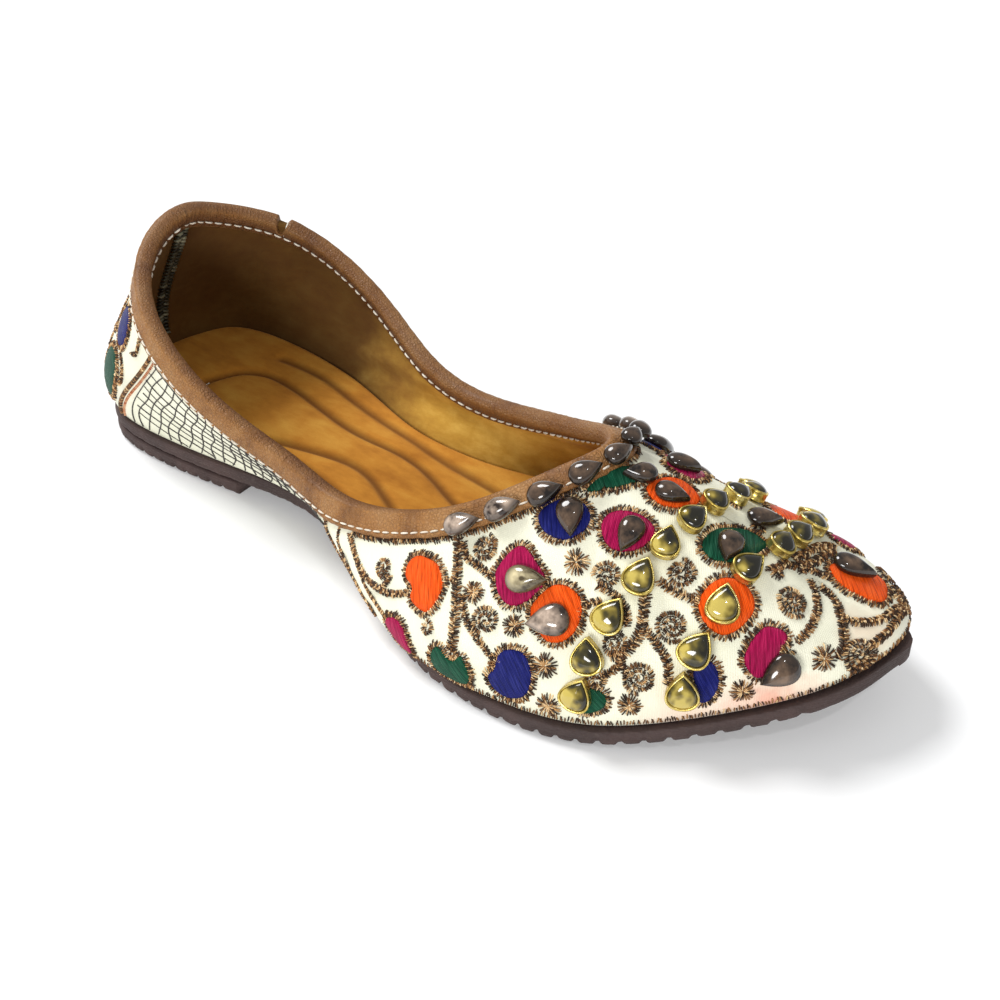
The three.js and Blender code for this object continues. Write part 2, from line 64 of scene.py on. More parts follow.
# Stations from the middle of the back round either side to the toe's tip: the sole edge, the top
# line, the wall's shape and how far the sole stands out beyond the upper.
STATION_COLUMNS = (
    "edgeX", "edgeHalf", "edgeZ", "edgeShift", "topX", "topHalf", "topZ",
    "footPull", "lean", "topPull", "roll", "sweep", "ledgeRight", "ledgeLeft",
)
STATIONS = [
    (0.4, 0, 10, 0, 19, 0, 64.2, 21, 21, 14, 14, 0, 1.2, 1.2),
    (4.2, 19.2, 9.9, 1, 20.5, 13.5, 60.5, 18, 21, 15, 12, 0, 0.5, 0.8),
    (20, 30.3, 9.4, 1.5, 37.5, 30.5, 52.2, 16.5, 18.5, 14, 19, 0, 1, 1),
    (61, 28, 9.2, -1, 66.5, 35, 38.9, 12, 16, 10.5, 15.5, 0, 1, 1),
    (95, 23.5, 8.4, 0, 93, 30.5, 28.5, 9, 22, 8, 8, 0, -1, -1),
    (125, 32, 6.2, 3, 116, 30, 25.8, 9.7, 26.5, 7.7, 16.5, 0, -2.5, -2.5),
    (146, 40, 5, 2.5, 140, 26.5, 32.3, 9.8, 22.5, 9.5, 36, 5, -1.5, -1.5),
    (163, 42, 4.6, 1.8, 157, 19.3, 40.3, 11.8, 20, 12.5, 54, 12, 0.5, 0.5),
    (179, 42, 4.6, 1.2, 171, 9.3, 49.1, 11, 18, 13.2, 70, 20, 1.8, 1.5),
    (195, 40, 4.6, 1.2, 176.5, 0, 51.9, 12.8, 16, 16.5, 82, 16, 2, 1.5),
    (211, 34.5, 4.8, 1, 189, 0, 48.7, 14, 14, 16.5, 80, 8, 2, 1.2),
    (229.5, 25.5, 5, 0.5, 209.5, 0, 41.6, 15.5, 13.5, 14.5, 75, 3, 2, 0.4),
    (243, 15, 5, 0.5, 222.5, 0, 35.4, 9.7, 10, 12.4, 63, 0, 2, -1),
    (248.5, 0, 5.3, 0, 228, 0, 32, 6, 7, 11, 58, 0, 0.8, 0.8),
]
THROAT_MIDDLE = 9
TIP = len(STATIONS) - 1
ROUND = 2 * TIP
COLLAR_ROUND = 2 * THROAT_MIDDLE

# Stones: station, rise, turn of the tip from the toe's direction up the wall, length, width
THROAT_STONES = [
    (6.79, 0.87, 34, 9.6, 5.6), (7.31, 0.885, 40, 9.6, 5.8), (7.86, 0.88, 43, 9.2, 6),
    (8.48, 0.905, 54, 8.6, 5.8), (9.22, 0.96, 68, 7.6, 5.4), (17, 0.895, 100, 7.2, 5.2),
    (17.62, 0.85, 124, 8.8, 5.8), (18.17, 0.83, 137, 9.4, 5.8), (18.72, 0.815, 141, 9.6, 5.8),
]
KUNDAN_A = [
    (9.04, 0.195, 81, 8.4, 7.6), (9.12, 0.33, 109, 9, 7.6), (9.37, 0.46, 80, 9.2, 7.6),
    (9.75, 0.59, 90, 9.2, 7.6), (10.08, 0.72, 102, 8, 7), (10.42, 0.865, 76, 7.4, 6.8),
    (15.38, 0.96, 82, 7.2, 6.8), (15.46, 0.785, 76, 7.2, 6.8), (15.62, 0.64, 92, 7.8, 7),
    (15.97, 0.525, 80, 8.6, 7.4), (16.38, 0.415, 96, 9, 7.6), (16.74, 0.285, 82, 9, 7.6),
    (16.94, 0.15, 98, 8.2, 7.6),
]
KUNDAN_B = [
    (10.26, 0.205, 102, 8.8, 7.8), (10.39, 0.37, 77, 9.4, 7.8), (10.66, 0.55, 105, 9.4, 7.8),
    (10.99, 0.75, 74, 8.4, 7), (14.5, 0.95, 100, 7.6, 6.8), (14.7, 0.755, 80, 8, 7),
    (14.98, 0.58, 98, 8.8, 7.6), (15.38, 0.405, 80, 9.2, 7.8), (15.7, 0.21, 98, 8.8, 7.8),
]
DROPS = [
    (8.33, 0.755, -61, 9.4, 6.6), (9.55, 0.705, -88, 9, 6.2), (9.7, 0.945, -137, 8.4, 5.4),
    (10.18, 0.93, 17, 8.6, 5.2), (16.18, 0.805, 38, 9, 5.4), (10.8, 0.815, -74, 8.2, 6.4),
    (14.99, 0.845, 46, 9.6, 5.2), (7.9, 0.565, 19, 10.6, 6.6), (8.39, 0.43, -149, 10.9, 7.6),
    (11.17, 0.24, -131, 9.9, 7.4), (14.06, 0.6, 26, 11, 5.6), (17.67, 0.69, 61, 9.4, 6.6),
    (18.1, 0.565, -19, 10.6, 6.6), (17.61, 0.43, 149, 10.9, 7.6),
]
# How high stones stand over the upper's face, on the silk and on the binding
ON_SKIN = 0.5
ON_BINDING = 1.92


def spline(rows, closed):
    """A smooth curve through evenly numbered rows of values, as a function of the row's number."""
    rows = np.array(rows, float)
    count = len(rows)
    system = np.zeros((count, count))
    wanted = np.zeros_like(rows)
    for i in range(count):
        if closed or 0 < i < count - 1:
            system[i, i] += 4
            system[i, (i + 1) % count] += 1
            system[i, (i - 1) % count] += 1
            wanted[i] = 3 * (rows[(i + 1) % count] - rows[(i - 1) % count])
        else:
            inner = 1 if i == 0 else count - 2
            system[i, i] = 2
            system[i, inner] = 1
            wanted[i] = 3 * (rows[inner] - rows[i]) * (1 if i == 0 else -1)
    slopes = np.linalg.solve(system, wanted)

    def read(s):
        s = np.asarray(s, float)
        last = count if closed else count - 1
        whole = np.clip(np.floor(s % count if closed else s), 0, last - 1).astype(int)
        t = ((s % count if closed else s) - whole)[..., None]
        j = (whole + 1) % count
        p, q, m, n = rows[whole], rows[j], slopes[whole], slopes[j]
        return ((2 * t**3 - 3 * t**2 + 1) * p + (t**3 - 2 * t**2 + t) * m
                + (3 * t**2 - 2 * t**3) * q + (t**3 - t**2) * n)

    return read


def ripple(x, waves):
    """A sum of sine waves, each with its height, rate and phase."""
    return sum(height * np.sin(x * rate + phase) for height, rate, phase in waves)


def centre_line(x):
    return -SWING * np.sin(math.pi * np.clip(np.asarray(x) / LENGTH, 0, 1) ** SWING_SHARPNESS)


def toe_spring(x):
    reach = STATIONS[TIP][0] - SPRING_START
    return TOE_SPRING * np.clip((np.asarray(x) - SPRING_START) / reach, 0, SPRING_LIMIT) ** 2


stations = [dict(zip(STATION_COLUMNS, row)) for row in STATIONS]


def both_sides(rows, make_row):
    return [make_row(row, -1) for row in rows] + [make_row(row, 1) for row in rows[-2:0:-1]]


def edge_row(row, side):
    x = row["edgeX"]
    y = float(centre_line(x)) + side * row["edgeHalf"] - row["edgeShift"]
    return x, y, row["edgeZ"] + float(toe_spring(x))


def top_row(row, side):
    return row["topX"], float(centre_line(row["topX"])) + side * row["topHalf"], row["topZ"]


def wall_row(row, side):
    ledge = "ledgeRight" if side < 0 else "ledgeLeft"
    return [row[name] for name in ("footPull", "lean", "topPull", "roll", "sweep", ledge)]


edge_spline = spline(both_sides(stations, edge_row), True)
wall_spline = spline(both_sides(stations, wall_row), True)
collar_spline = spline(both_sides(stations[:THROAT_MIDDLE + 1], top_row), True)
ridge_spline = spline([top_row(row, -1) for row in stations[THROAT_MIDDLE:]], False)


def unit(vectors):
    return vectors / np.maximum(np.linalg.norm(vectors, axis=-1, keepdims=True), 1e-12)


def edge_outward(s):
    along = edge_spline(s + TANGENT_STEP) - edge_spline(s - TANGENT_STEP)
    return unit(np.stack([along[..., 1], -along[..., 0], np.zeros(along.shape[:-1])], -1))


def top_line(s):
    s = np.asarray(s, float) % ROUND
    folded = np.minimum(s, ROUND - s)
    on_ridge = folded >= THROAT_MIDDLE - 1e-9
    ridge = ridge_spline(np.clip(folded - THROAT_MIDDLE, 0, TIP - THROAT_MIDDLE))
    collar = collar_spline(np.where(s < THROAT_MIDDLE + 1e-9, s, s - ROUND + COLLAR_ROUND))
    return np.where(on_ridge[..., None], ridge, collar)


# The outer face: at each station a curve from the sole edge (rise 0) to the top line (rise 1)
def wall_points(s, rise):
    wall = wall_spline(s)
    foot_pull, lean, top_pull, roll, sweep = (wall[..., k, None] for k in range(5))
    lean, roll, sweep = np.radians(lean), np.radians(roll), np.radians(sweep)
    up = np.array([0, 0, 1.0])
    heelward = np.array([-1, 0, RIDGE_SLOPE])
    outward = edge_outward(s)
    foot, top = edge_spline(s), top_line(s)
    leave = up * np.cos(lean) + outward * np.sin(lean)
    inward = heelward * np.sin(sweep) - outward * np.cos(sweep)
    arrive = up * np.cos(roll) + inward * np.sin(roll)
    v = np.asarray(rise, float)[..., None]
    return ((1 - v) ** 3 * foot + 3 * (1 - v) ** 2 * v * (foot + leave * foot_pull)
            + 3 * (1 - v) * v**2 * (top - arrive * top_pull) + v**3 * top)


def grid_faces(rings, size, join_rings=False, join_size=True):
    """Quads between rings of points, each ring of the same size."""
    faces = []
    for r in range(rings if join_rings else rings - 1):
        after = (r + 1) % rings
        for k in range(size if join_size else size - 1):
            beside = (k + 1) % size
            faces.append((r * size + k, after * size + k, after * size + beside, r * size + beside))
    return faces


SKIN_STEPS = 24
SKIN_ROWS = 72
COLUMNS = ROUND * SKIN_STEPS
RIDGE_ROUNDS = 30
RIDGE_ROWS = 7
CORNER_NEAR = 0.05


class Skin:
    """The upper's outer face as a fine grid of points and normals, read by station and rise."""

    def __init__(self):
        s = np.arange(COLUMNS) / SKIN_STEPS
        rise = np.linspace(0, 1, SKIN_ROWS + 1)
        grid_s, grid_rise = np.meshgrid(s, rise, indexing="ij")
        self.points = wall_points(grid_s, grid_rise)
        folded = np.minimum(s, ROUND - s)
        self.on_ridge = folded >= THROAT_MIDDLE - 1e-9
        self.mirror = (COLUMNS - np.arange(COLUMNS)) % COLUMNS
        self.smooth_ridge()
        self.find_normals()
        vertices = self.points.reshape(-1, 3)
        self.tree = BVHTree.FromPolygons(vertices.tolist(), self.faces())

    def smooth_ridge(self):
        """Rounds the line where the right and left walls meet along the vamp."""
        ridge = np.where(self.on_ridge)[0]
        for _ in range(RIDGE_ROUNDS):
            p = self.points
            for row in range(SKIN_ROWS, SKIN_ROWS - RIDGE_ROWS, -1):
                below = p[ridge, row - 1]
                above = p[self.mirror[ridge], row - 1] if row == SKIN_ROWS else p[ridge, row + 1]
                p[ridge, row] = 0.5 * p[ridge, row] + 0.25 * (below + above)

    def faces(self):
        return grid_faces(COLUMNS, SKIN_ROWS + 1, join_rings=True, join_size=False)

    def find_normals(self):
        p = self.points
        along = np.roll(p, -1, 0) - np.roll(p, 1, 0)
        rising = np.empty_like(p)
        rising[:, 1:-1] = p[:, 2:] - p[:, :-2]
        rising[:, 0] = p[:, 1] - p[:, 0]
        rising[:, -1] = p[:, -1] - p[:, -2]
        self.normals = normals = unit(np.cross(along, rising))
        ridge = np.where(self.on_ridge)[0]
        normals[ridge, -1] = unit(normals[ridge, -2] + normals[self.mirror[ridge], -2])

    def at(self, s, rise):
        """Points and normals at stations and rises, smoothly between the grid's own."""
        s = np.asarray(s, float) % ROUND * SKIN_STEPS
        v = np.clip(np.asarray(rise, float), 0, 1) * SKIN_ROWS
        i = np.floor(s).astype(int) % COLUMNS
        k = np.minimum(np.floor(v).astype(int), SKIN_ROWS - 1)
        a, b = (s - np.floor(s))[..., None], (v - k)[..., None]
        j = (i + 1) % COLUMNS

        def mix(grid):
            low = grid[i, k] * (1 - a) + grid[j, k] * a
            high = grid[i, k + 1] * (1 - a) + grid[j, k + 1] * a
            return low * (1 - b) + high * b

        return mix(self.points), unit(mix(self.normals))

    def nearest(self, points):
        """The nearest places on the face to some points, with smooth normals."""
        found = [self.tree.find_nearest(Vector(p)) for p in np.atleast_2d(points)]
        places = np.array([f[0] for f in found])
        i, k = np.divmod(np.array([f[2] for f in found]), SKIN_ROWS)
        j = (i + 1) % COLUMNS
        corners, normals = (
            np.stack([grid[i, k], grid[j, k], grid[i, k + 1], grid[j, k + 1]], 1)
            for grid in (self.points, self.normals))
        weights = 1 / (np.linalg.norm(corners - places[:, None], axis=2) + CORNER_NEAR) ** 2
        return places, unit(np.sum(normals * weights[..., None], 1))


skin = Skin()


# The sole edge moved outwards, read at a distance from the back as right, left and height
class Outline:
    SAMPLES = 2080

    def __init__(self, ledge_at):
        s = np.arange(self.SAMPLES) * ROUND / self.SAMPLES
        points = edge_spline(s) + edge_outward(s) * ledge_at(s)[..., None]
        points[:, 2] = edge_spline(s)[:, 2]
        toe = self.SAMPLES // 2
        self.points = points
        self.start, self.end = points[0, 0], points[toe, 0]
        self.right = self.ordered(points[:toe + 1])
        self.left = self.ordered(np.vstack([points[:1], points[toe:][::-1]]))

    @staticmethod
    def ordered(chain):
        keep = np.concatenate([[True], np.maximum.accumulate(chain[:-1, 0]) < chain[1:, 0]])
        return chain[keep]

    def at(self, x):
        right = np.interp(x, self.right[:, 0], self.right[:, 1])
        left = np.interp(x, self.left[:, 0], self.left[:, 1])
        z = np.interp(x, self.right[:, 0], self.right[:, 2])
        return np.minimum(right, left), np.maximum(right, left), z


TOE_POINT_REACH = 1.6
TOE_POINT_HALF = 0.28
sole_outline = Outline(lambda s: wall_spline(s)[..., 5]
                       + TOE_POINT_REACH * np.exp(-((s - TIP) / TOE_POINT_HALF) ** 2))

# The row frame's origin in the shoe's own millimetres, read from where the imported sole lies
low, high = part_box("outsole")
mine = sole_outline.points
SHIFT = np.array([
    low.x * 1000 - sole_outline.start,
    (low.y + high.y) * 500 - (mine[:, 1].min() + mine[:, 1].max()) / 2,
    0.0,
])


def make_mesh(name, points, faces, materials, face_slots=None):
    """A mesh object from points in the shoe's millimetres."""
    mesh = bpy.data.meshes.new(name)
    mesh.from_pydata(((np.asarray(points, float) + SHIFT) / 1000).tolist(), [], faces)
    for material in materials:
        mesh.materials.append(material)
    if face_slots is not None:
        mesh.polygons.foreach_set("material_index", np.asarray(face_slots, np.int32))
    mesh.polygons.foreach_set("use_smooth", [True] * len(mesh.polygons))
    mesh.validate()
    mesh.update()
    thing = bpy.data.objects.new(name, mesh)
    bpy.context.scene.collection.objects.link(thing)
    return thing


def belongs(piece, slot, *nodes):
    """Puts a piece on the shoe and hides the solids it stands for. The slot is not used."""
    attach(piece, "root")
    if nodes:
        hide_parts(*nodes)


def add_map(piece, name, values):
    """Stores two numbers a corner, in millimetres, for the material's own directions."""
    mesh = piece.data
    layer = mesh.uv_layers.new(name=name)
    corners = np.empty(len(mesh.loops), np.int32)
    mesh.loops.foreach_get("vertex_index", corners)
    layer.data.foreach_set("uv", np.asarray(values, np.float32)[corners].ravel())


# Materials
class Look:
    """A material while its nodes are laid, with short names for the nodes used here."""

    def __init__(self, name):
        self.material = bpy.data.materials.new(name)
        self.material.use_nodes = True
        self.tree = self.material.node_tree
        self.shader = next(n for n in self.tree.nodes if n.type == "BSDF_PRINCIPLED")

    def node(self, kind, **settings):
        made = self.tree.nodes.new("ShaderNode" + kind)
        for key, value in settings.items():
            if key.startswith("in_"):
                made.inputs[key[3:].replace("_", " ")].default_value = value
            else:
                setattr(made, key, value)
        return made

    def feed(self, socket, value):
        """Links a socket's value from another, or sets it to a number or a colour."""
        if isinstance(value, bpy.types.NodeSocket):
            self.tree.links.new(value, socket)
        elif value is not None:
            socket.default_value = (*value, 1) if isinstance(value, tuple) else value

    def through(self, kind, value, into, out, **settings):
        """What comes out of a node of some kind that a value goes into."""
        made = self.node(kind, **settings)
        self.feed(made.inputs[into], value)
        return made.outputs[out]

    def place(self, scale=(1, 1, 1)):
        """Object coordinates in millimetres, so that textures keep their real size."""
        metres = self.node("TexCoord").outputs["Object"]
        return self.through("Mapping", metres, "Vector", "Vector", in_Scale=[1000.0 * s for s in scale])

    def on_map(self, name, scale=(1, 1, 1)):
        """The piece's own directions in millimetres, stored with its mesh."""
        stored = self.node("UVMap", uv_map=name).outputs["UV"]
        return self.through("Mapping", stored, "Vector", "Vector", in_Scale=scale)

    def axis(self, vector, number):
        return self.through("SeparateXYZ", vector, 0, number)

    def noise(self, vector, scale, detail=4.0, roughness=0.55):
        return self.through("TexNoise", vector, "Vector", "Fac", in_Scale=scale, in_Detail=detail,
                            in_Roughness=roughness)

    def waves(self, vector, scale, distortion=0.0, direction="X", detail_scale=1.0):
        return self.through("TexWave", vector, "Vector", "Fac", in_Scale=scale, in_Distortion=distortion,
                            in_Detail_Scale=detail_scale, bands_direction=direction)

    def ramp(self, factor, stops):
        made = self.node("ValToRGB")
        elements = made.color_ramp.elements
        for position, _ in stops[1:-1]:
            elements.new(position)
        ordered = sorted(elements, key=lambda e: e.position)
        for element, (position, colour) in zip(ordered, stops):
            element.position = position
            element.color = (*colour, 1)
        self.feed(made.inputs["Fac"], factor)
        return made.outputs["Color"]

    def maths(self, operation, first, second):
        made = self.node("Math", operation=operation)
        self.feed(made.inputs[0], first)
        self.feed(made.inputs[1], second)
        return made.outputs[0]

    def stretch(self, value, *limits):
        """A value between two limits brought to 0 and 1, or to two other numbers, and held there."""
        names = ("in_From_Min", "in_From_Max", "in_To_Min", "in_To_Max")
        return self.through("MapRange", value, "Value", "Result", **dict(zip(names, limits)))

    def tint(self, colour, other, value, *limits):
        """A colour that turns into another as a value goes between limits."""
        made = self.node("Mix", data_type="RGBA")
        self.feed(made.inputs[0], self.stretch(value, *limits))
        self.feed(made.inputs[6], colour)
        self.feed(made.inputs[7], other)
        return made.outputs[2]

    def bump(self, height, distance, after=None, strength=1.0):
        """A relief of this many millimetres, on top of another."""
        made = self.node("Bump", in_Strength=strength, in_Distance=distance / 1000)
        self.feed(made.inputs["Height"], height)
        self.feed(made.inputs["Normal"], after)
        return made.outputs["Normal"]

    def finish(self, colour, roughness, normal=None, **values):
        for name, value in (("Base Color", colour), ("Roughness", roughness), ("Normal", normal)):
            self.feed(self.shader.inputs[name], value)
        for name, value in values.items():
            self.shader.inputs[name.replace("_", " ")].default_value = value
        return self.material


# Colours, as linear values
SILK = (0.87, 0.85, 0.68)
SILK_SHADE = (0.66, 0.67, 0.49)
SUEDE = ((0.37, 0.135, 0.015), (0.56, 0.235, 0.030), (0.68, 0.345, 0.055))
# Painted shade, with some dirt, in the insole's sewn channels
SUEDE_CHANNEL_SHADE = (0.13, 0.045, 0.008)
LINING = ((0.33, 0.155, 0.022), (0.52, 0.29, 0.045), (0.72, 0.46, 0.10))
# Painted shadow inside the heel, where the back wall shades the lining
LINING_HEEL_SHADOW = (0.062, 0.020, 0.007)
NAP_TINT = (1.0, 0.8, 0.45, 1)
TAN = (0.315, 0.142, 0.040)
TAN_DARK = (0.17, 0.07, 0.02)
TAN_LIGHT = (0.41, 0.22, 0.085)
TAN_INSIDE = (0.115, 0.045, 0.018)
RUBBER = (0.046, 0.026, 0.023)
DUST = (0.17, 0.13, 0.11)
FLOSS = {
    "orange": (0.93, 0.095, 0.004),
    "magenta": (0.37, 0.004, 0.068),
    "navy": (0.008, 0.012, 0.135),
    "green": (0.004, 0.07, 0.034),
}
# Kundan foil from dark to bright; where a stone falls along it is set by the painted reflection
FOIL = [
    (0.36, (0.010, 0.009, 0.004)), (0.5, (0.055, 0.045, 0.010)), (0.6, (0.19, 0.14, 0.020)),
    (0.74, (0.50, 0.39, 0.085)),
]
GOLD = [(0.35, (0.33, 0.24, 0.05)), (0.5, (0.66, 0.50, 0.13)), (0.7, (0.80, 0.70, 0.33))]
# Zari from dark to pale gold; its darkest tones are partly dark thread and partly painted shade between the
# threads
ZARI = [
    (0.0, (0.020, 0.009, 0.004)), (0.3, (0.075, 0.032, 0.012)), (0.55, (0.25, 0.105, 0.030)),
    (0.78, (0.56, 0.31, 0.115)), (1.0, (0.92, 0.70, 0.40)),
]
PALE_ZARI = [(0.0, (0.55, 0.33, 0.14)), (1.0, (0.88, 0.80, 0.62))]
COTTON = [(0.0, (0.62, 0.52, 0.40)), (1.0, (0.88, 0.82, 0.70))]
NET = [(0.0, (0.030, 0.026, 0.024)), (1.0, (0.13, 0.115, 0.10))]
BRAIDED = [(0.0, (0.018, 0.016, 0.010)), (0.6, (0.08, 0.075, 0.045)), (1.0, (0.34, 0.33, 0.22))]
PIPING = [(0.0, (0.45, 0.10, 0.03)), (1.0, (0.72, 0.40, 0.22))]
# Where the silk is stained: centre, reach, tint and strength
SILK_STAINS = [
    ((231, -28, 12), 13, (0.80, 0.26, 0.16), 0.75),
    ((218, -38, 9), 16, (0.85, 0.50, 0.40), 0.55),
    ((243, -9, 27), 9, (0.75, 0.45, 0.28), 0.35),
    ((2, -14, 14), 8, (0.72, 0.42, 0.28), 0.5),
]
# Where the lining's painted heel shadow starts to fade and where it ends, in mm of the row frame
HEEL_SHADOW_REACH = (-52, -14)


def silk_material():
    """Ivory silk: a fine weave whose ribs run up the wall, soft wrinkles and stains."""
    look = Look("silk")
    place = look.place()
    fine = look.noise(look.on_map("wall", (1.6, 0.25, 1)), 1.2, 3.0)
    colour = look.tint(SILK, SILK_SHADE, look.noise(place, 0.05, 3.0), 0.35, 0.7, 0.0, 0.5)
    colour = look.tint(colour, SILK_SHADE, fine, 0.3, 0.75, 0.0, 0.16)
    for centre, reach, stain, amount in SILK_STAINS:
        away = look.node("VectorMath", operation="DISTANCE")
        look.feed(away.inputs[0], place)
        away.inputs[1].default_value = np.array(centre) + SHIFT
        ragged = look.stretch(look.noise(place, 0.25, 2.0), 0, 1, -reach * 0.4, reach * 0.4)
        edge = look.maths("ADD", away.outputs["Value"], ragged)
        colour = look.tint(colour, stain, edge, 0.2 * reach, reach, amount, 0.0)
    weave = look.waves(look.on_map("wall", (1, 0.12, 1)), 0.55, 1.2, "X", 2.0)
    threads = look.waves(look.on_map("wall"), 0.75, 0.8, "Y", 3.0)
    normal = look.bump(threads, 0.02, look.bump(weave, 0.035))
    normal = look.bump(look.noise(place, 0.11, 3.0), 0.5, normal, 0.5)
    return look.finish(colour, look.stretch(fine, 0.3, 0.7, 0.42, 0.56), normal,
                       Sheen_Weight=0.15, Specular_IOR_Level=0.4)


def suede_material(name, shades, heel_shade=None, channel_shade=False):
    """Nubuck: clouds of brushed nap with fine fibres standing up, and a painted shadow round the heel."""
    look = Look(name)
    place = look.place()
    dark, main, light = shades
    cloud = look.noise(place, 0.045, 5.0, 0.62)
    brushed = look.noise(look.place((0.35, 1.0, 1.0)), 0.30, 4.0, 0.6)
    fibre = look.noise(place, 3.2, 3.0, 0.7)
    nap = look.maths("ADD", look.maths("MULTIPLY", cloud, 0.62), look.maths("MULTIPLY", brushed, 0.38))
    colour = look.ramp(nap, [(0.33, dark), (0.5, main), (0.66, light)])
    colour = look.tint(colour, dark, fibre, 0.25, 0.75, 0.0, 0.28)
    # Painted shade, with some dirt, darkening the sewn channels
    if channel_shade:
        colour = look.tint(colour, SUEDE_CHANNEL_SHADE, look.axis(look.on_map("pressed"), 0), 0.1, 1.3, 0.0, 0.85)
    # Painted shadow: the lining darkens towards the back of the heel, with a ragged edge
    if heel_shade:
        reach = look.maths("ADD", look.axis(place, 0), look.maths("MULTIPLY", cloud, 24.0))
        colour = look.tint(colour, heel_shade, reach, *HEEL_SHADOW_REACH, 0.85, 0.0)
    normal = look.bump(fibre, 0.06, look.bump(cloud, 0.6, None, 0.5))
    return look.finish(colour, 0.92, normal, Sheen_Weight=0.12, Sheen_Roughness=0.5,
                       Specular_IOR_Level=0.15, Sheen_Tint=NAP_TINT)


def leather_material():
    """Tan glazed leather: pebbles and short wrinkles, darker at the edge and inside the fold."""
    look = Look("binding_leather")
    place = look.place()
    cells = look.through("TexVoronoi", place, "Vector", "Distance", in_Scale=1.15,
                         feature="DISTANCE_TO_EDGE")
    pebble = look.stretch(cells, 0.0, 0.28)
    wrinkle = look.noise(look.on_map("strip", (1.1, 0.22, 1)), 0.8, 3.0, 0.5)
    drop = look.axis(look.on_map("strip"), 1)
    colour = look.ramp(look.noise(place, 0.09, 4.0), [(0.3, TAN_DARK), (0.48, TAN), (0.72, TAN_LIGHT)])
    for other, value, *limits in (
        (TAN_DARK, pebble, 0.0, 0.6, 0.4, 0.0), (TAN_LIGHT, wrinkle, 0.5, 0.75, 0.0, 0.3),
        (TAN_DARK, drop, 4.9, 6.2, 0.0, 0.4), (TAN_INSIDE, drop, -2.2, -0.2, 0.75, 0.0),
        (TAN_LIGHT, drop, -5.6, -4.9, 0.8, 0.0),
    ):
        colour = look.tint(colour, other, value, *limits)
    normal = look.bump(pebble, 0.18, look.bump(wrinkle, 0.6))
    normal = look.bump(look.noise(place, 0.35, 3.0), 0.25, normal, 0.6)
    return look.finish(colour, look.stretch(pebble, 0, 1, 0.62, 0.42), normal,
                       Coat_Weight=0.08, Coat_Roughness=0.3, Specular_IOR_Level=0.25)


def rubber_material():
    """Brown rubber: gritty, dusty in patches, with fine moulding lines round its edge."""
    look = Look("rubber")
    place = look.place()
    grit = look.noise(place, 1.6, 4.0, 0.65)
    dark, light = (tuple(v * share for v in RUBBER) for share in (0.75, 1.6))
    colour = look.ramp(look.noise(place, 0.06, 4.0), [(0.3, dark), (0.5, RUBBER), (0.72, light)])
    colour = look.tint(colour, DUST, look.noise(place, 0.4, 5.0, 0.7), 0.58, 0.75, 0.0, 0.22)
    lines = look.waves(look.place((0.04, 0.04, 1)), 0.45, 1.5, "Z", 1.0)
    normal = look.bump(lines, 0.06, look.bump(grit, 0.14))
    return look.finish(colour, look.stretch(grit, 0.3, 0.7, 0.62, 0.85), normal)


def floss_material(name, colour):
    """Satin stitch: parallel glossy threads whose shade varies from thread to thread, with painted shade in
    the grooves between them.
    """
    look = Look("satin_" + name)
    across = look.waves(look.on_map("floss"), 0.9, 0.6, "X", 1.0)
    shade = look.noise(look.on_map("floss", (2.2, 0.16, 1)), 1.0, 2.0, 0.6)
    dark = tuple(v * 0.4 for v in colour)
    light = tuple(min(v * 1.6 + 0.02, 1) for v in colour)
    tone = look.ramp(shade, [(0.3, dark), (0.5, colour), (0.72, light)])
    # Painted shade in the grooves between the threads
    tone = look.tint(tone, dark, across, 0.0, 0.5, 0.45, 0.0)
    return look.finish(tone, 0.4, look.bump(across, 0.10), Specular_IOR_Level=0.12)


def thread_material(name, stops, metallic, roughness):
    """Twisted thread; each stitch carries its own shade."""
    look = Look(name)
    colour = look.ramp(look.axis(look.on_map("thread"), 0), stops)
    twist = look.waves(look.on_map("thread", (0, 1, 1)), 1.1, 0.0, "DIAGONAL")
    return look.finish(colour, roughness, look.bump(twist, 0.03), Metallic=metallic)


POLISH = {"Coat_Weight": 0.8, "Coat_Roughness": 0.02, "Specular_IOR_Level": 0.2}


def stone_material(name, deep, light, patches, spot=0.0):
    """Polished glass over a painted back: clouds inside, painted shade darkening the rim, a clear coat
    outside.
    """
    look = Look(name)
    body = look.noise(look.place(), patches, 3.0, 0.6)
    middle = tuple((a + b) / 2 for a, b in zip(deep, light))
    colour = look.ramp(body, [(0.36, deep), (0.55, middle), (0.7, light)])
    share = look.axis(look.on_map("stone"), 1)
    # Painted shade: the stone darkens towards its rim, with a cloudy edge
    shaded_rim = look.maths("ADD", share, look.stretch(body, 0.3, 0.7, -0.15, 0.15))
    colour = look.tint(colour, deep, shaded_rim, 0.62, 1.0, 0.0, 0.85)
    if spot:
        colour = look.tint(colour, deep, share, 0.12, 0.24, spot, 0.0)
    return look.finish(colour, 0.15, **POLISH)


def kundan_material():
    """Yellow-green glass over crinkled foil, with a painted reflection that is dark towards one end, bright
    towards the other and brighter on some stones, and painted shade at the rim.
    """
    look = Look("kundan_glass")
    foil = look.noise(look.place(), 0.34, 1.5, 0.4)
    # Painted reflection: darker towards each stone's tip, lighter towards its back and to one side
    along = look.maths("MULTIPLY", look.axis(look.on_map("inside"), 0), -0.26)
    across = look.maths("MULTIPLY", look.axis(look.on_map("inside"), 1), 0.16)
    painted_reflection = look.maths("ADD", across, look.axis(look.on_map("stone"), 0))
    # Painted shade at the rim
    rim = look.stretch(look.axis(look.on_map("stone"), 1), 0.6, 1.0, 0.0, 0.22)
    value = look.maths("SUBTRACT", look.maths("ADD", look.maths("ADD", foil, along), painted_reflection), rim)
    return look.finish(look.ramp(value, FOIL), 0.12, **POLISH)


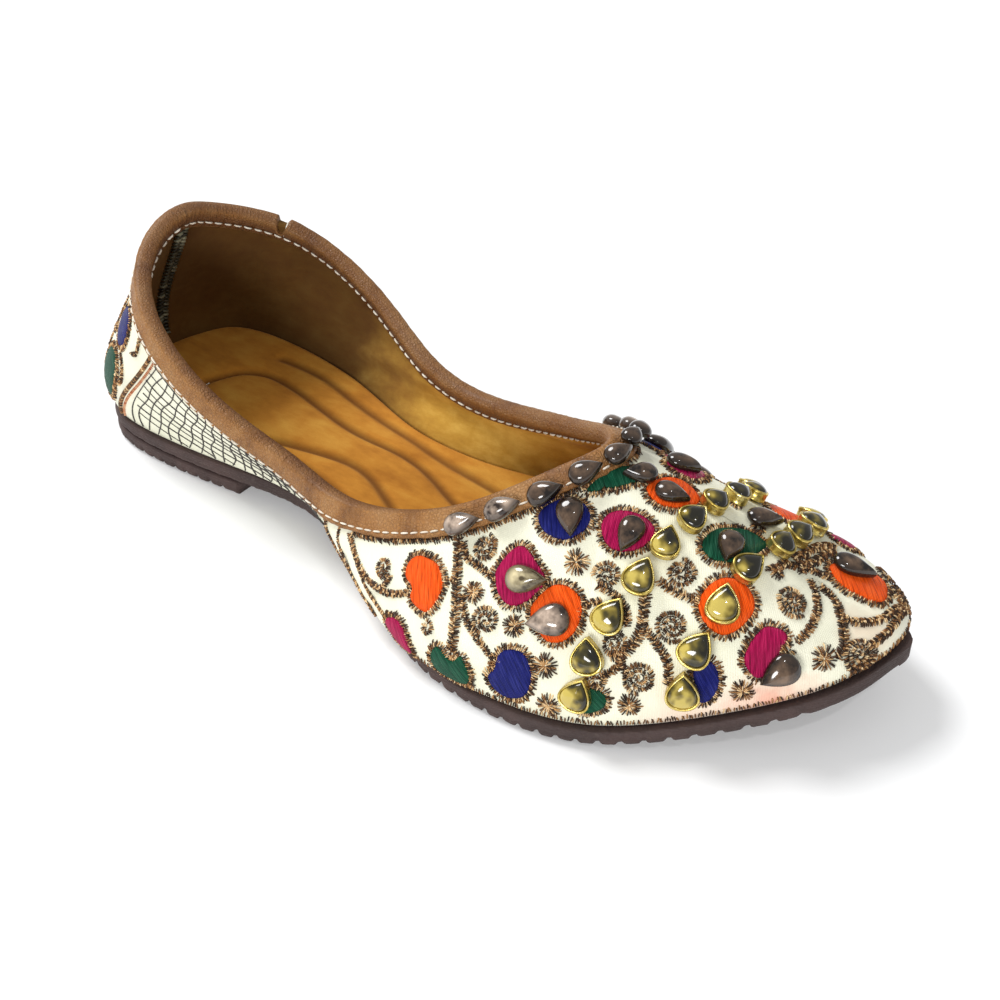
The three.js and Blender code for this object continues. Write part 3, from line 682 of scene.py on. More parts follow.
def gold_material():
    """Worn gold plate, a little tarnished and beaten."""
    look = Look("gold_setting")
    place = look.place()
    tarnish = look.noise(place, 0.5, 4.0, 0.6)
    normal = look.bump(look.noise(place, 0.6, 2.0), 0.06, None, 0.5)
    roughness = look.stretch(tarnish, 0.3, 0.7, 0.36, 0.22)
    return look.finish(look.ramp(tarnish, GOLD), roughness, normal, Metallic=0.9)


silk = silk_material()
suede = suede_material("suede", SUEDE, channel_shade=True)
lining = suede_material("lining_suede", LINING, LINING_HEEL_SHADOW)
leather = leather_material()
rubber = rubber_material()
floss = {name: floss_material(name, colour) for name, colour in FLOSS.items()}
zari = thread_material("zari_thread", ZARI, 0.2, 0.38)
pale_zari = thread_material("pale_zari", PALE_ZARI, 0.2, 0.4)
cotton = thread_material("white_thread", COTTON, 0.0, 0.55)
net_thread = thread_material("net_thread", NET, 0.0, 0.6)
braid_thread = thread_material("braid_thread", BRAIDED, 0.2, 0.4)
seam_thread = thread_material("seam_thread", PIPING, 0.0, 0.5)
glass = stone_material("dark_stone", (0.007, 0.004, 0.003), (0.17, 0.105, 0.065), 0.24)
pearl = stone_material("pearl_stone", (0.022, 0.013, 0.010), (0.70, 0.54, 0.42), 0.24)
cream_stone = stone_material("cream_stone", (0.05, 0.033, 0.014), (0.70, 0.60, 0.36), 0.22, 0.95)
kundan = kundan_material()
gold = gold_material()


def on_upper(s, rise):
    """Places on the outer face. A rise beyond 1 goes over the ridge and down the other wall."""
    s, rise = np.asarray(s, float), np.asarray(rise, float)
    over = rise > 1
    return skin.at(np.where(over, ROUND - s, s), np.where(over, 2 - rise, rise))


def frame_at(station, rise, turn=0):
    """A place on the upper, a direction turned from the toe's up the wall, the one across it, the normal."""
    point, normal = on_upper(station, rise)
    toeward = unit(np.array([1.0, 0, 0]) - normal * normal[0])
    upward = np.cross(normal, toeward)
    turn = math.radians(turn)
    tip = toeward * math.cos(turn) + upward * math.sin(turn)
    return point, tip, np.cross(normal, tip), normal


def run_along(points):
    """How far each of a chain of points lies from the first."""
    return np.concatenate([[0], np.cumsum(np.linalg.norm(np.diff(points, axis=0), axis=1))])


# Upper: silk outside, suede lining inside, in one wall
# Soft creases: station, rise, direction in degrees from the toe's, length, width and depth in mm
SILK_CREASES = [
    (11.6, 0.16, 20, 24, 5, 0.35), (11.95, 0.40, 60, 18, 4, 0.25), (10.8, 0.10, 8, 22, 4, 0.3),
    (8.9, 0.06, 5, 26, 4, 0.25), (7.1, 0.10, 15, 20, 4, 0.25), (5.55, 0.30, 70, 16, 4, 0.3),
    (5.05, 0.45, 75, 22, 5, 0.35), (4.45, 0.40, 80, 20, 6, 0.3), (14.6, 0.14, -20, 22, 5, 0.3),
    (16.4, 0.10, -8, 24, 4, 0.3), (20.9, 0.45, 105, 22, 5, 0.35), (21.5, 0.40, 100, 20, 5, 0.3),
    (24.2, 0.25, 150, 24, 6, 0.3), (1.6, 0.22, 30, 22, 6, 0.3), (0.4, 0.18, 5, 20, 5, 0.25),
]
LINING_CREASES = [
    (20.2, 0.62, 172, 34, 5, 1.12), (19.6, 0.50, 166, 30, 5, 0.96), (18.9, 0.62, 160, 26, 4, 0.80),
    (21.6, 0.45, 175, 26, 6, 0.80), (23.2, 0.35, 170, 30, 8, 0.96), (24.4, 0.55, 110, 24, 7, 0.80),
    (6.3, 0.55, 10, 30, 5, 0.80), (1.8, 0.5, 60, 26, 7, 0.80),
    (22.6, 0.26, 176, 44, 6, 1.5), (22.0, 0.36, 168, 28, 6, 1.3), (23.9, 0.62, 128, 26, 7, 1.2),
]
CREASE_REACH = 14
CREASE_RIDGE = 0.6
CREASE_RIDGE_AWAY = 0.9
# The rows next to the sole and to the collar over which creases fade out
FOOT_ROWS = 6
COLLAR_ROWS = 10


def creases(points, normals, rows):
    """How points move inwards in soft troughs, each with a low ridge beside it."""
    moves = np.zeros_like(points)
    for station, rise, turn, length, width, depth in rows:
        centre, tip, across, normal = frame_at(station, rise, turn)
        away = points - centre
        along, aside = away @ tip, away @ across
        near = np.exp(-(along / (length / 2)) ** 2 - (away @ normal / CREASE_REACH) ** 2)
        ridge = np.exp(-((aside - width * CREASE_RIDGE_AWAY) / (width / 2)) ** 2)
        trough = np.exp(-(aside / (width / 2)) ** 2) - CREASE_RIDGE * ridge
        moves -= normals * (depth * near * trough)[..., None]
    return moves


def make_upper():
    size = SKIN_ROWS + 1
    normals = skin.normals.copy()
    normals[:, 0] = unit(normals[:, 0] * (1, 1, 0))
    rows = np.arange(size)
    clear = np.clip(rows / FOOT_ROWS, 0, 1) * np.where(
        skin.on_ridge[:, None], 1, np.clip((SKIN_ROWS - rows) / COLLAR_ROWS, 0, 1))
    outer = skin.points + creases(skin.points, normals, SILK_CREASES) * clear[..., None]
    inside = skin.points - normals * WALL
    inner = inside - creases(inside, normals, LINING_CREASES) * clear[..., None]
    count = COLUMNS * size

    def vertex(i, k):
        i %= COLUMNS
        if k == SKIN_ROWS and skin.on_ridge[i]:
            i = min(i, COLUMNS - i)
        return i * size + k

    faces, slots = [], []
    for i in range(COLUMNS):
        for k in range(SKIN_ROWS):
            quad = [vertex(i, k), vertex(i + 1, k), vertex(i + 1, k + 1), vertex(i, k + 1)]
            faces += [quad, [count + v for v in reversed(quad)]]
            slots += [0, 1]
        a, b = vertex(i, 0), vertex(i + 1, 0)
        faces.append([a, count + a, count + b, b])
        slots.append(1)
        if not (skin.on_ridge[i] and skin.on_ridge[(i + 1) % COLUMNS]):
            a, b = vertex(i, SKIN_ROWS), vertex(i + 1, SKIN_ROWS)
            faces.append([b, count + b, count + a, a])
            slots.append(1)
    points = np.vstack([outer.reshape(-1, 3), inner.reshape(-1, 3)])
    piece = make_mesh("upper_silk_and_lining", points, faces, [silk, lining], face_slots=slots)
    run = run_along(skin.points[:, 0])
    climb = np.linalg.norm(np.diff(skin.points, axis=1, prepend=skin.points[:, :1]), axis=-1).cumsum(1)
    wall = np.stack([np.repeat(run[:, None], size, 1), climb], -1).reshape(-1, 2)
    add_map(piece, "wall", np.vstack([wall, wall]))
    belongs(piece, "silk", "upper")


# Binding: a strip folded over the collar, outside flap, fold and inside flap
BINDING_OUTSIDE = 6
BINDING_INSIDE = 5
BINDING_THICKNESS = 1.0
BINDING_GAP = 0.42
BINDING_OUT = BINDING_GAP + BINDING_THICKNESS
BINDING_BACK = -WALL - BINDING_GAP
BINDING_STEPS = 44
FOLD_TURNS = 11
# The strip's uneven edge and puffed faces: height, and share, rate and phase of its waves
LIPS = 0.22
LIP_WAVES = [(0.5, 9.1, 1.0), (0.3, 23.7, 0.4), (0.2, 41.3, 0)]
LIP_FROM = 3.9
PUFF = 0.07
STITCH_DROP = 4.75
INNER_STITCH_DROP = 3.3
# Below the fold the strip leans onto the upper's face over this drop
LEAN_DROP = 1.5
# The strip's ends meet at a notch, at this place round the collar, and lap beside it
NOTCH = 16.16
NOTCH_HALF = 0.06
NOTCH_DROP = 2.6
NOTCH_RAMP = 0.55
LAP_BESIDE = 0.10
LAP_HALF = 0.09
LAP_HEIGHT = 0.12
RISE_HALF = 0.3
RISE = 0.25


def collar_frames(s):
    """At places round the collar: its edge, the directions along it, down the wall and outwards."""
    edge = collar_spline(s)
    along = unit(collar_spline(s + TANGENT_STEP) - collar_spline(s - TANGENT_STEP))
    station = np.where(s <= THROAT_MIDDLE, s, s - COLLAR_ROUND + ROUND)
    normal = skin.at(station, np.full_like(s, 1.0))[1]
    normal = unit(normal - along * np.sum(normal * along, -1, keepdims=True))
    return edge, along, unit(np.cross(along, normal)), normal


def flap_place(edge, down, normal, drop, height):
    """A place at a drop down from the collar's edge and a height out from the upper's face."""
    above = edge + down * drop
    point, face = skin.nearest(above)
    share = np.clip(drop / LEAN_DROP, 0, 1)
    face = unit(face * share + normal * (1 - share))
    return np.where(drop > 0, point, above) + face * height


def binding_section():
    """The strip's section as drops below the edge and heights from the face, and the fold's middle."""
    t, gap, out, back = BINDING_THICKNESS, BINDING_GAP, BINDING_OUT, BINDING_BACK
    inner = back - t
    middle, half = (out + inner) / 2, (out - inner) / 2
    section = [
        (BINDING_OUTSIDE, gap), (BINDING_OUTSIDE + 0.1, gap + 0.35 * t), (BINDING_OUTSIDE, gap + 0.75 * t),
        (BINDING_OUTSIDE - 0.4, out - 0.03), (5.3, out), (STITCH_DROP + 0.35, out - 0.04),
        (STITCH_DROP, out - 0.22), (STITCH_DROP - 0.35, out - 0.04),
    ]
    section += [(drop, out) for drop in (3.9, 3.1, 2.3, 1.5, 0.8, 0.3)]
    for k in range(FOLD_TURNS):
        angle = math.pi * (k + 0.5) / FOLD_TURNS
        section.append((-out * math.sin(angle), middle + half * math.cos(angle)))
    section += [(drop, inner) for drop in (0.4, 1.2, 2.2, 3.0)]
    section += [
        (INNER_STITCH_DROP - 0.3, inner + 0.05), (INNER_STITCH_DROP, inner + 0.2),
        (INNER_STITCH_DROP + 0.3, inner + 0.05), (4.4, inner), (BINDING_INSIDE, back - 0.8 * t),
        (BINDING_INSIDE + 0.1, back - 0.4 * t), (BINDING_INSIDE, back), (2.5, back), (0, back),
        (-gap, back + gap), (-gap, 0), (0, gap), (3, gap),
    ]
    return section, middle


def make_binding():
    gap, out, back = BINDING_GAP, BINDING_OUT, BINDING_BACK
    section, middle = binding_section()
    s = np.arange(COLLAR_ROUND * BINDING_STEPS) / BINDING_STEPS
    edge, _, down, normal = collar_frames(s)
    lips = LIPS * ripple(s, LIP_WAVES)
    puff = PUFF * np.sin(s * 31.0 + 2.0) * np.sin(s * 12.7)
    apart = abs(s - NOTCH)
    cut = np.clip((NOTCH_HALF - apart) / (NOTCH_HALF * NOTCH_RAMP), 0, 1)
    lap = np.clip(1 - abs(s - NOTCH + LAP_BESIDE) / LAP_HALF, 0, 1)
    rise = np.clip(1 - apart / RISE_HALF, 0, 1) * RISE
    points = np.empty((len(s), len(section), 3))
    for k, (drop, height) in enumerate(section):
        drops = np.full(len(s), float(drop))
        heights = np.full(len(s), float(height))
        if drop >= LIP_FROM and height > gap:
            drops += lips
        if abs(height - out) < 0.3 or height <= back - BINDING_THICKNESS + 0.3:
            heights += np.sign(height) * (puff + LAP_HEIGHT * lap)
        if drop < 0 and height not in (back + gap, 0):
            drops = drops * (1 + rise)
        if drop < NOTCH_DROP:
            drops += cut * (NOTCH_DROP - drops)
        points[:, k] = flap_place(edge, down, normal, drops[:, None], heights[:, None])
    faces = grid_faces(len(s), len(section), join_rings=True)
    piece = make_mesh("binding_strip", points.reshape(-1, 3), faces, [leather])
    drops = np.array([d if h > middle else -abs(d) - 0.5 for d, h in section], float)
    strip = np.stack(np.meshgrid(run_along(edge), drops, indexing="ij"), -1)
    add_map(piece, "strip", strip.reshape(-1, 2))
    belongs(piece, "binding_leather", "binding")


# Sole layers
RIB_PITCH = 4.6
RIB_DEPTH = 0.75
RIB_FLOOR = 0.5
RIB_MOUTH = 0.95
FORE_RIBS = (132, 240)
HEEL_RIBS = (2.7, HEEL_LIFT_END - 2)
# Down a layer's side: share of its height, and how far it stands out from the sole edge
SIDE_LEVELS = [
    (0, -2.4), (0.0, -0.5), (0.05, -0.15), (0.14, 0.03), (0.3, 0.2), (0.45, 0.24), (0.55, 0.05),
    (0.62, 0.2), (0.8, 0.02), (0.93, -0.3), (1, -0.75), (1, -3.0),
]
# Nearer its ends than this half width, a layer keeps to the sole edge
PLAIN_HALF = 3.2
# A rib's groove dents the side over its lower part by this share of its depth
DENT = 0.45
DENT_FROM = 0.5
WORN_WAVES = [(0.10, 0.9, 0), (0.06, 2.3, 1)]


def groove_depth(x, first, last):
    count = math.floor((last - first) / RIB_PITCH)
    nearest = first + RIB_PITCH * np.clip(np.round((x - first) / RIB_PITCH), 0, count)
    share = np.clip((RIB_MOUTH - abs(x - nearest)) / (RIB_MOUTH - RIB_FLOOR), 0, 1)
    return RIB_DEPTH * share * share * (3 - 2 * share)


def sections_along(start, end, round_end, step=0.46, nose=14.0, cuts=34):
    share = np.linspace(0, 1, cuts + 1)
    middle = np.arange(start + nose + step, end - nose - step / 2, step)
    tail = end - nose * (share[::-1] ** 2 if round_end else share[::-1])
    return np.concatenate([start + nose * share**2, middle, tail])


def layer_points(places, top_of, bottom_of, ribs):
    right, left, z = sole_outline.at(places)
    half, centre = (left - right) / 2, (left + right) / 2
    top = top_of(z)
    groove = groove_depth(places, *ribs)
    bottom = bottom_of(z) + groove
    rings = []
    worn = ripple(places, WORN_WAVES)
    for side in (1, -1):
        for share, out in SIDE_LEVELS[::side]:
            dent = groove * DENT * share if share > DENT_FROM else 0
            reach = np.maximum(half + np.where(half > PLAIN_HALF, out + worn * share - dent, 0), 0)
            rings.append(np.stack([places, centre + side * reach, top + (bottom - top) * share], -1))
    return np.stack(rings, 1)


def make_layer(name, node_name, places, top_of, bottom_of, ribs):
    points = layer_points(places, top_of, bottom_of, ribs)
    size = points.shape[1]
    faces = grid_faces(len(places), size)
    faces.append(list(range(size)))
    faces.append([(len(places) - 1) * size + k for k in range(size)][::-1])
    piece = make_mesh(name, points.reshape(-1, 3), faces, [rubber])
    belongs(piece, "rubber", node_name)


def sole_bottom(z):
    return np.maximum(z - SOLE_GAP - SOLE_THICKNESS, 0)


def make_soles():
    places = sections_along(sole_outline.start, sole_outline.end, True)
    make_layer("outsole_layer", "outsole", places, lambda z: z - SOLE_GAP, sole_bottom, FORE_RIBS)
    places = sections_along(sole_outline.start, HEEL_LIFT_END, False)
    make_layer("heel_lift_layer", "heel_lift", places, lambda z: sole_bottom(z) - SOLE_GAP,
               lambda z: z * 0, HEEL_RIBS)


# Insole: a padded sock inside the upper, quilted by sewn channels given as places from above
INSOLE_INSET = 2.5
INSOLE_END = 240
INSOLE_THICKNESS = 2.6
INSOLE_CROWN = 0.7
INSOLE_PUFF = 0.12
INSOLE_LOWER = 0.05
EDGE_ROLL = 2.2
DEEPEST = 2.2
# Sewn channels: depth, half width and places along them
CHANNELS = [
    (1.35, 1.5, [
        (25.5, -12.5), (26.3, -7.3), (28.4, -2.2), (31.6, 3.2), (36.9, 6.2), (44, 6.9), (59.5, 4.2),
        (74.9, 0.5), (88.6, -0.6), (103.4, -0.9), (115.3, -4.5), (124.5, -8.1), (140, -12), (160, -14),
    ]),
    (1.35, 1.5, [
        (25.5, -12.5), (28.5, -19), (36, -22.5), (48, -22), (59.9, -20.3), (66, -17.6), (72.8, -15.6),
        (85.4, -13.4), (98.3, -14), (111.9, -20.2), (128, -26), (150, -30),
    ]),
    (1.1, 1.4, [(60, -23.5), (69.6, -21.2), (83, -21.6), (97.4, -24.6), (110, -29), (130, -36)]),
    (1.2, 1.7, [(36, 16.5), (50, 16.5), (64, 13.5), (80, 9.5), (96, 7.2), (110, 5), (128, 3.5), (150, 1)]),
]
CHANNEL_STEPS = 36
# Beside each channel the padding slopes down too, and painted shade with some dirt darkens its seam over
# this share of its width
SLOPE_SHARE = 0.5
SLOPE_SPREAD = 3
CHANNEL_SHADE_SPREAD = 0.8
INSOLE_STEP = 0.9
INSOLE_ACROSS = 111


def channel_depth(x, y):
    """How deep the quilting presses in at places seen from above, and how much painted shade and dirt darken
    them along the channels.
    """
    depth = np.zeros_like(x)
    seam = np.zeros_like(x)
    for deep, half, points in CHANNELS:
        rows = spline(points, False)
        path = rows(np.linspace(0, len(points) - 1, CHANNEL_STEPS * len(points)))
        away = np.full(x.shape, np.inf)
        for px, py in path:
            np.minimum(away, (x - px) ** 2 + (y - py) ** 2, out=away)
        root = np.sqrt(away)
        depth += deep * np.exp(-(root / half) ** 2)
        depth += deep * SLOPE_SHARE * np.exp(-(root / (half * SLOPE_SPREAD)) ** 2)
        # Painted shade with some dirt along each channel's seam, stronger where the channel is deeper
        seam = np.maximum(seam, deep * np.exp(-(root / (half * CHANNEL_SHADE_SPREAD)) ** 2))
    return depth, seam


def make_insole():
    shape = Outline(lambda s: np.full(s.shape, -float(INSOLE_INSET)))
    places = sections_along(shape.start, INSOLE_END, False, step=INSOLE_STEP)
    right, left, z = shape.at(places)
    across = np.linspace(-1, 1, INSOLE_ACROSS)
    half, centre = (left - right) / 2, (left + right) / 2
    x = np.repeat(places[:, None], len(across), 1)
    y = centre[:, None] + half[:, None] * across
    crown = INSOLE_THICKNESS + INSOLE_CROWN * (1 - across**2)
    edge = np.clip((half[:, None] * (1 - abs(across))) / EDGE_ROLL, 0, 1)
    soft = INSOLE_PUFF * np.sin(x * 0.21 + y * 0.13) * np.sin(y * 0.31 - x * 0.05)
    rolled = 0.4 + 0.6 * np.sqrt(edge * (2 - edge))
    depth, seam = channel_depth(x, y)
    top = z[:, None] + crown * rolled - (np.minimum(depth, DEEPEST) - soft) * edge
    upper = np.stack([x, y, top], -1)
    lower = np.stack([x, y, np.repeat(z[:, None] + INSOLE_LOWER, len(across), 1)], -1)
    size = 2 * len(across)
    rings = np.concatenate([upper, lower[:, ::-1]], 1)
    faces = [f[::-1] for f in grid_faces(len(places), size)]
    faces.append(list(range(size))[::-1])
    faces.append([(len(places) - 1) * size + k for k in range(size)])
    piece = make_mesh("insole_pad", rings.reshape(-1, 3), faces, [suede])
    pressed = np.stack([np.concatenate([seam, 0 * seam], 1), np.repeat(x, 2, 1)], -1)
    add_map(piece, "pressed", pressed.reshape(-1, 2))
    belongs(piece, "suede", "insole")
    return upper.reshape(-1, 3)

# Threads: every stitch is a short arched thread, gathered here and made into one mesh a kind
class Threads:
    RISE = np.array([-0.06, 1.0, 0.9, -0.06])
    SHARE = np.array([0.0, 0.24, 0.76, 1.0])
    THICK = (0.75, 1.0, 1.0, 0.75)
    TURNS = np.radians([90, 210, 330])

    def __init__(self):
        self.rows = []

    def add(self, starts, ends, normals, radius, arch, tones):
        wide = [np.broadcast_to(np.asarray(v, float), (len(starts),)) for v in (radius, arch, tones)]
        self.rows.append(np.column_stack([starts, ends, normals, *wide]))

    def make(self, name, slot, material):
        rows = np.vstack(self.rows)
        start, end, normal = rows[:, 0:3], rows[:, 3:6], rows[:, 6:9]
        radius, arch, tone = rows[:, 9:10], rows[:, 10:11], rows[:, 11]
        side = unit(np.cross(end - start, normal))
        rings, count = len(self.SHARE), len(rows)
        points = np.empty((count, rings, 3, 3))
        for r in range(rings):
            middle = start + (end - start) * self.SHARE[r] + normal * (arch * self.RISE[r])
            for k, turn in enumerate(self.TURNS):
                spoke = side * math.cos(turn) + normal * math.sin(turn)
                points[:, r, k] = middle + spoke * (radius * self.THICK[r])
        base = np.arange(count)[:, None, None] * rings * 3
        ends = [[2, 1, 0], [rings * 3 - 3, rings * 3 - 2, rings * 3 - 1]]
        faces = (base + np.array(grid_faces(rings, 3))[:, [0, 3, 2, 1]]).reshape(-1, 4).tolist()
        faces += (base + np.array(ends)).reshape(-1, 3).tolist()
        piece = make_mesh(name, points.reshape(-1, 3), faces, [material])
        long = np.linalg.norm(end - start, axis=1)
        values = np.empty((count, rings, 3, 2))
        values[..., 0] = tone[:, None, None]
        values[..., 1] = (self.SHARE * long[:, None])[..., None]
        add_map(piece, "thread", values.reshape(-1, 2))
        belongs(piece, slot)


outlines = Threads()
chains = Threads()
edge_stitches = Threads()
white = Threads()
back_braid = Threads()
dark_net = Threads()
piping = Threads()
dashes = Threads()

ZARI_RADIUS = 0.21
CURVE_STEPS = 40
OUTLINE_PITCH = (0.44, 0.52)
VINE_PITCH = 0.46


def scatter(count, low, high):
    return np.array([rng.uniform(low, high) for _ in range(count)])


def drawn(value, count):
    """A number for each stitch: drawn between a pair of limits, or else the one given."""
    return scatter(count, *value) if isinstance(value, tuple) else np.broadcast_to(value, (count,))


def shades(count, dark, middle):
    """Thread shades: a share of dark ones, a share of middling ones, the rest pale gold. The dark ones are
    partly dark thread and partly painted shade in the gaps between threads.
    """
    values = []
    for _ in range(count):
        pick = rng.random()
        if pick < dark:
            values.append(rng.uniform(0.0, 0.3))
        elif pick < dark + middle:
            values.append(rng.uniform(0.4, 0.7))
        else:
            values.append(rng.uniform(0.78, 1.0))
    return np.array(values)


def curve_places(pairs, pitch, closed=False):
    """Even steps along a curve through stations and rises: places, normals and directions."""
    rows = spline(pairs, closed)
    knots = len(pairs) if closed else len(pairs) - 1
    t = np.linspace(0, knots, CURVE_STEPS * knots + 1)
    run = run_along(on_upper(*rows(t).T)[0])
    count = max(int(round(run[-1] / pitch)), 2)
    want = np.linspace(0, run[-1], count + 1)
    at = np.interp(want[:-1] if closed else want, run, t)
    places, normals = on_upper(*rows(at).T)
    limits = (-np.inf, np.inf) if closed else (0, knots)
    before, after = np.clip(at - TANGENT_STEP, *limits), np.clip(at + TANGENT_STEP, *limits)
    return places, normals, unit(on_upper(*rows(after).T)[0] - on_upper(*rows(before).T)[0])


def line_of(pairs, pitch, closed=False):
    """A line to stitch: its places, the directions along it and to its side, outwards if it is closed."""
    places, normals, along = curve_places(pairs, pitch, closed)
    aside = np.cross(along, normals)
    if closed and np.sum((places - places.mean(0)) * aside) <= 0:
        aside = -aside
    return places, along, aside


def lay(threads, line, near, far, slant, arch, tones, radius=ZARI_RADIUS, lift=0.0):
    """Stitches that cross a line, from one distance aside to another and slanted along it."""
    places, along, aside = line
    count = len(places)
    near, far, slant, arch = (drawn(value, count) for value in (near, far, slant, arch))
    if isinstance(tones, tuple):
        tones = shades(count, *tones)
    start, n0 = skin.nearest(places + aside * near[:, None])
    end, n1 = skin.nearest(places + aside * far[:, None] + along * slant[:, None])
    threads.add(start + n0 * lift, end + n1 * lift, unit(n0 + n1), radius, arch, tones)


def stitch_outline(pairs):
    """The caterpillar edge of a satin motif: a dark, spiky outer row and a paler inner one."""
    outer, inner = (line_of(pairs, pitch, True) for pitch in OUTLINE_PITCH)
    lay(outlines, outer, (0.15, 0.45), (1.1, 1.85), (-0.2, 0.65), (0.3, 0.5), (0.56, 0.27))
    lay(outlines, inner, (-0.45, -0.1), (0.7, 1.15), (0.1, 0.6), (0.5, 0.68), (0.25, 0.4))


def stitch_vine(pairs, half):
    """A feathered stem: pairs of stitches in a V along the line, with a dark core."""
    places, along, aside = line_of(pairs, VINE_PITCH)
    for way in (aside, -aside):
        lay(chains, (places, along, way), (-0.15, 0.1), (half * 0.7, half * 1.05), (-0.7, -0.25), (0.3, 0.5),
            (0.5, 0.3))
    lay(chains, (places, along, aside), (-0.42, -0.25), (0.25, 0.42), (-0.2, 0.3), (0.5, 0.62), (0.35, 0.35))


COIL_START = 0.5
COIL_PITCH = 0.42
COIL_ROW = 1.25
COIL_RIM = 0.6
COIL_TIGHTEST = 0.6
# Share of the pieces of the painted-shade cord that stay
COIL_SHADE_CORD_SHARE = 0.72


def stitch_coil(station, rise, radius):
    """A round motif: short stitches laid across a spiral, spiky at the rim, with broken dark cords along the
    spiral's gap as painted shade.
    """
    point, u, v, _ = frame_at(station, rise)
    angle, reach = rng.uniform(0, 6), COIL_START
    places, radial, tangent = [], [], []
    while reach < radius - COIL_RIM:
        out = u * math.cos(angle) + v * math.sin(angle)
        places.append(point + out * reach)
        radial.append(out)
        tangent.append(v * math.cos(angle) - u * math.sin(angle))
        turn = COIL_PITCH / max(reach, COIL_TIGHTEST)
        angle += turn
        reach += COIL_ROW * turn / (2 * math.pi)
    places, radial, tangent = (np.array(x) for x in (places, radial, tangent))
    count = len(places)
    outer = np.linalg.norm(places - point, axis=1) > radius - COIL_RIM - COIL_ROW
    far = np.where(outer, scatter(count, 0.55, 1.0), scatter(count, 0.36, 0.5))
    lay(chains, (places, tangent, radial), (-0.5, -0.36), far, (0.1, 0.5), (0.4, 0.65), (0.42, 0.32))
    # Dark cords along the gap between the spiral's rows: painted shade
    gap, face = skin.nearest(places - radial * COIL_ROW / 2)
    gap += face * 0.06
    shade_cord_kept = scatter(count - 1, 0, 1) < COIL_SHADE_CORD_SHARE
    chains.add(gap[:-1][shade_cord_kept], gap[1:][shade_cord_kept], unit(face[1:] + face[:-1])[shade_cord_kept], 0.2, 0.05,
               scatter(shade_cord_kept.sum(), 0.0, 0.45))


# The two rounds of a star's stitches: reach as a share of its radius, number, start, and tones
STAR_ROUNDS = [(1, 25, 0.4, (0.5, 0.35)), (0.62, 15, 0.1, (0.12, 0.35))]


def stitch_star(station, rise, radius):
    """A burst of straight stitches, pale in the middle."""
    point, u, v, _ = frame_at(station, rise)
    for share, count, near, tones in STAR_ROUNDS:
        reach = radius * share
        angle = np.linspace(0, 2 * math.pi, count, endpoint=False) + scatter(count, -0.1, 0.1)
        radial = u * np.cos(angle)[:, None] + v * np.sin(angle)[:, None]
        far = reach * scatter(count, 0.85, 1.12)
        line = (np.repeat(point[None], count, 0), radial, radial)
        lay(chains, line, near * reach, far, 0, (0.35, 0.6), tones)


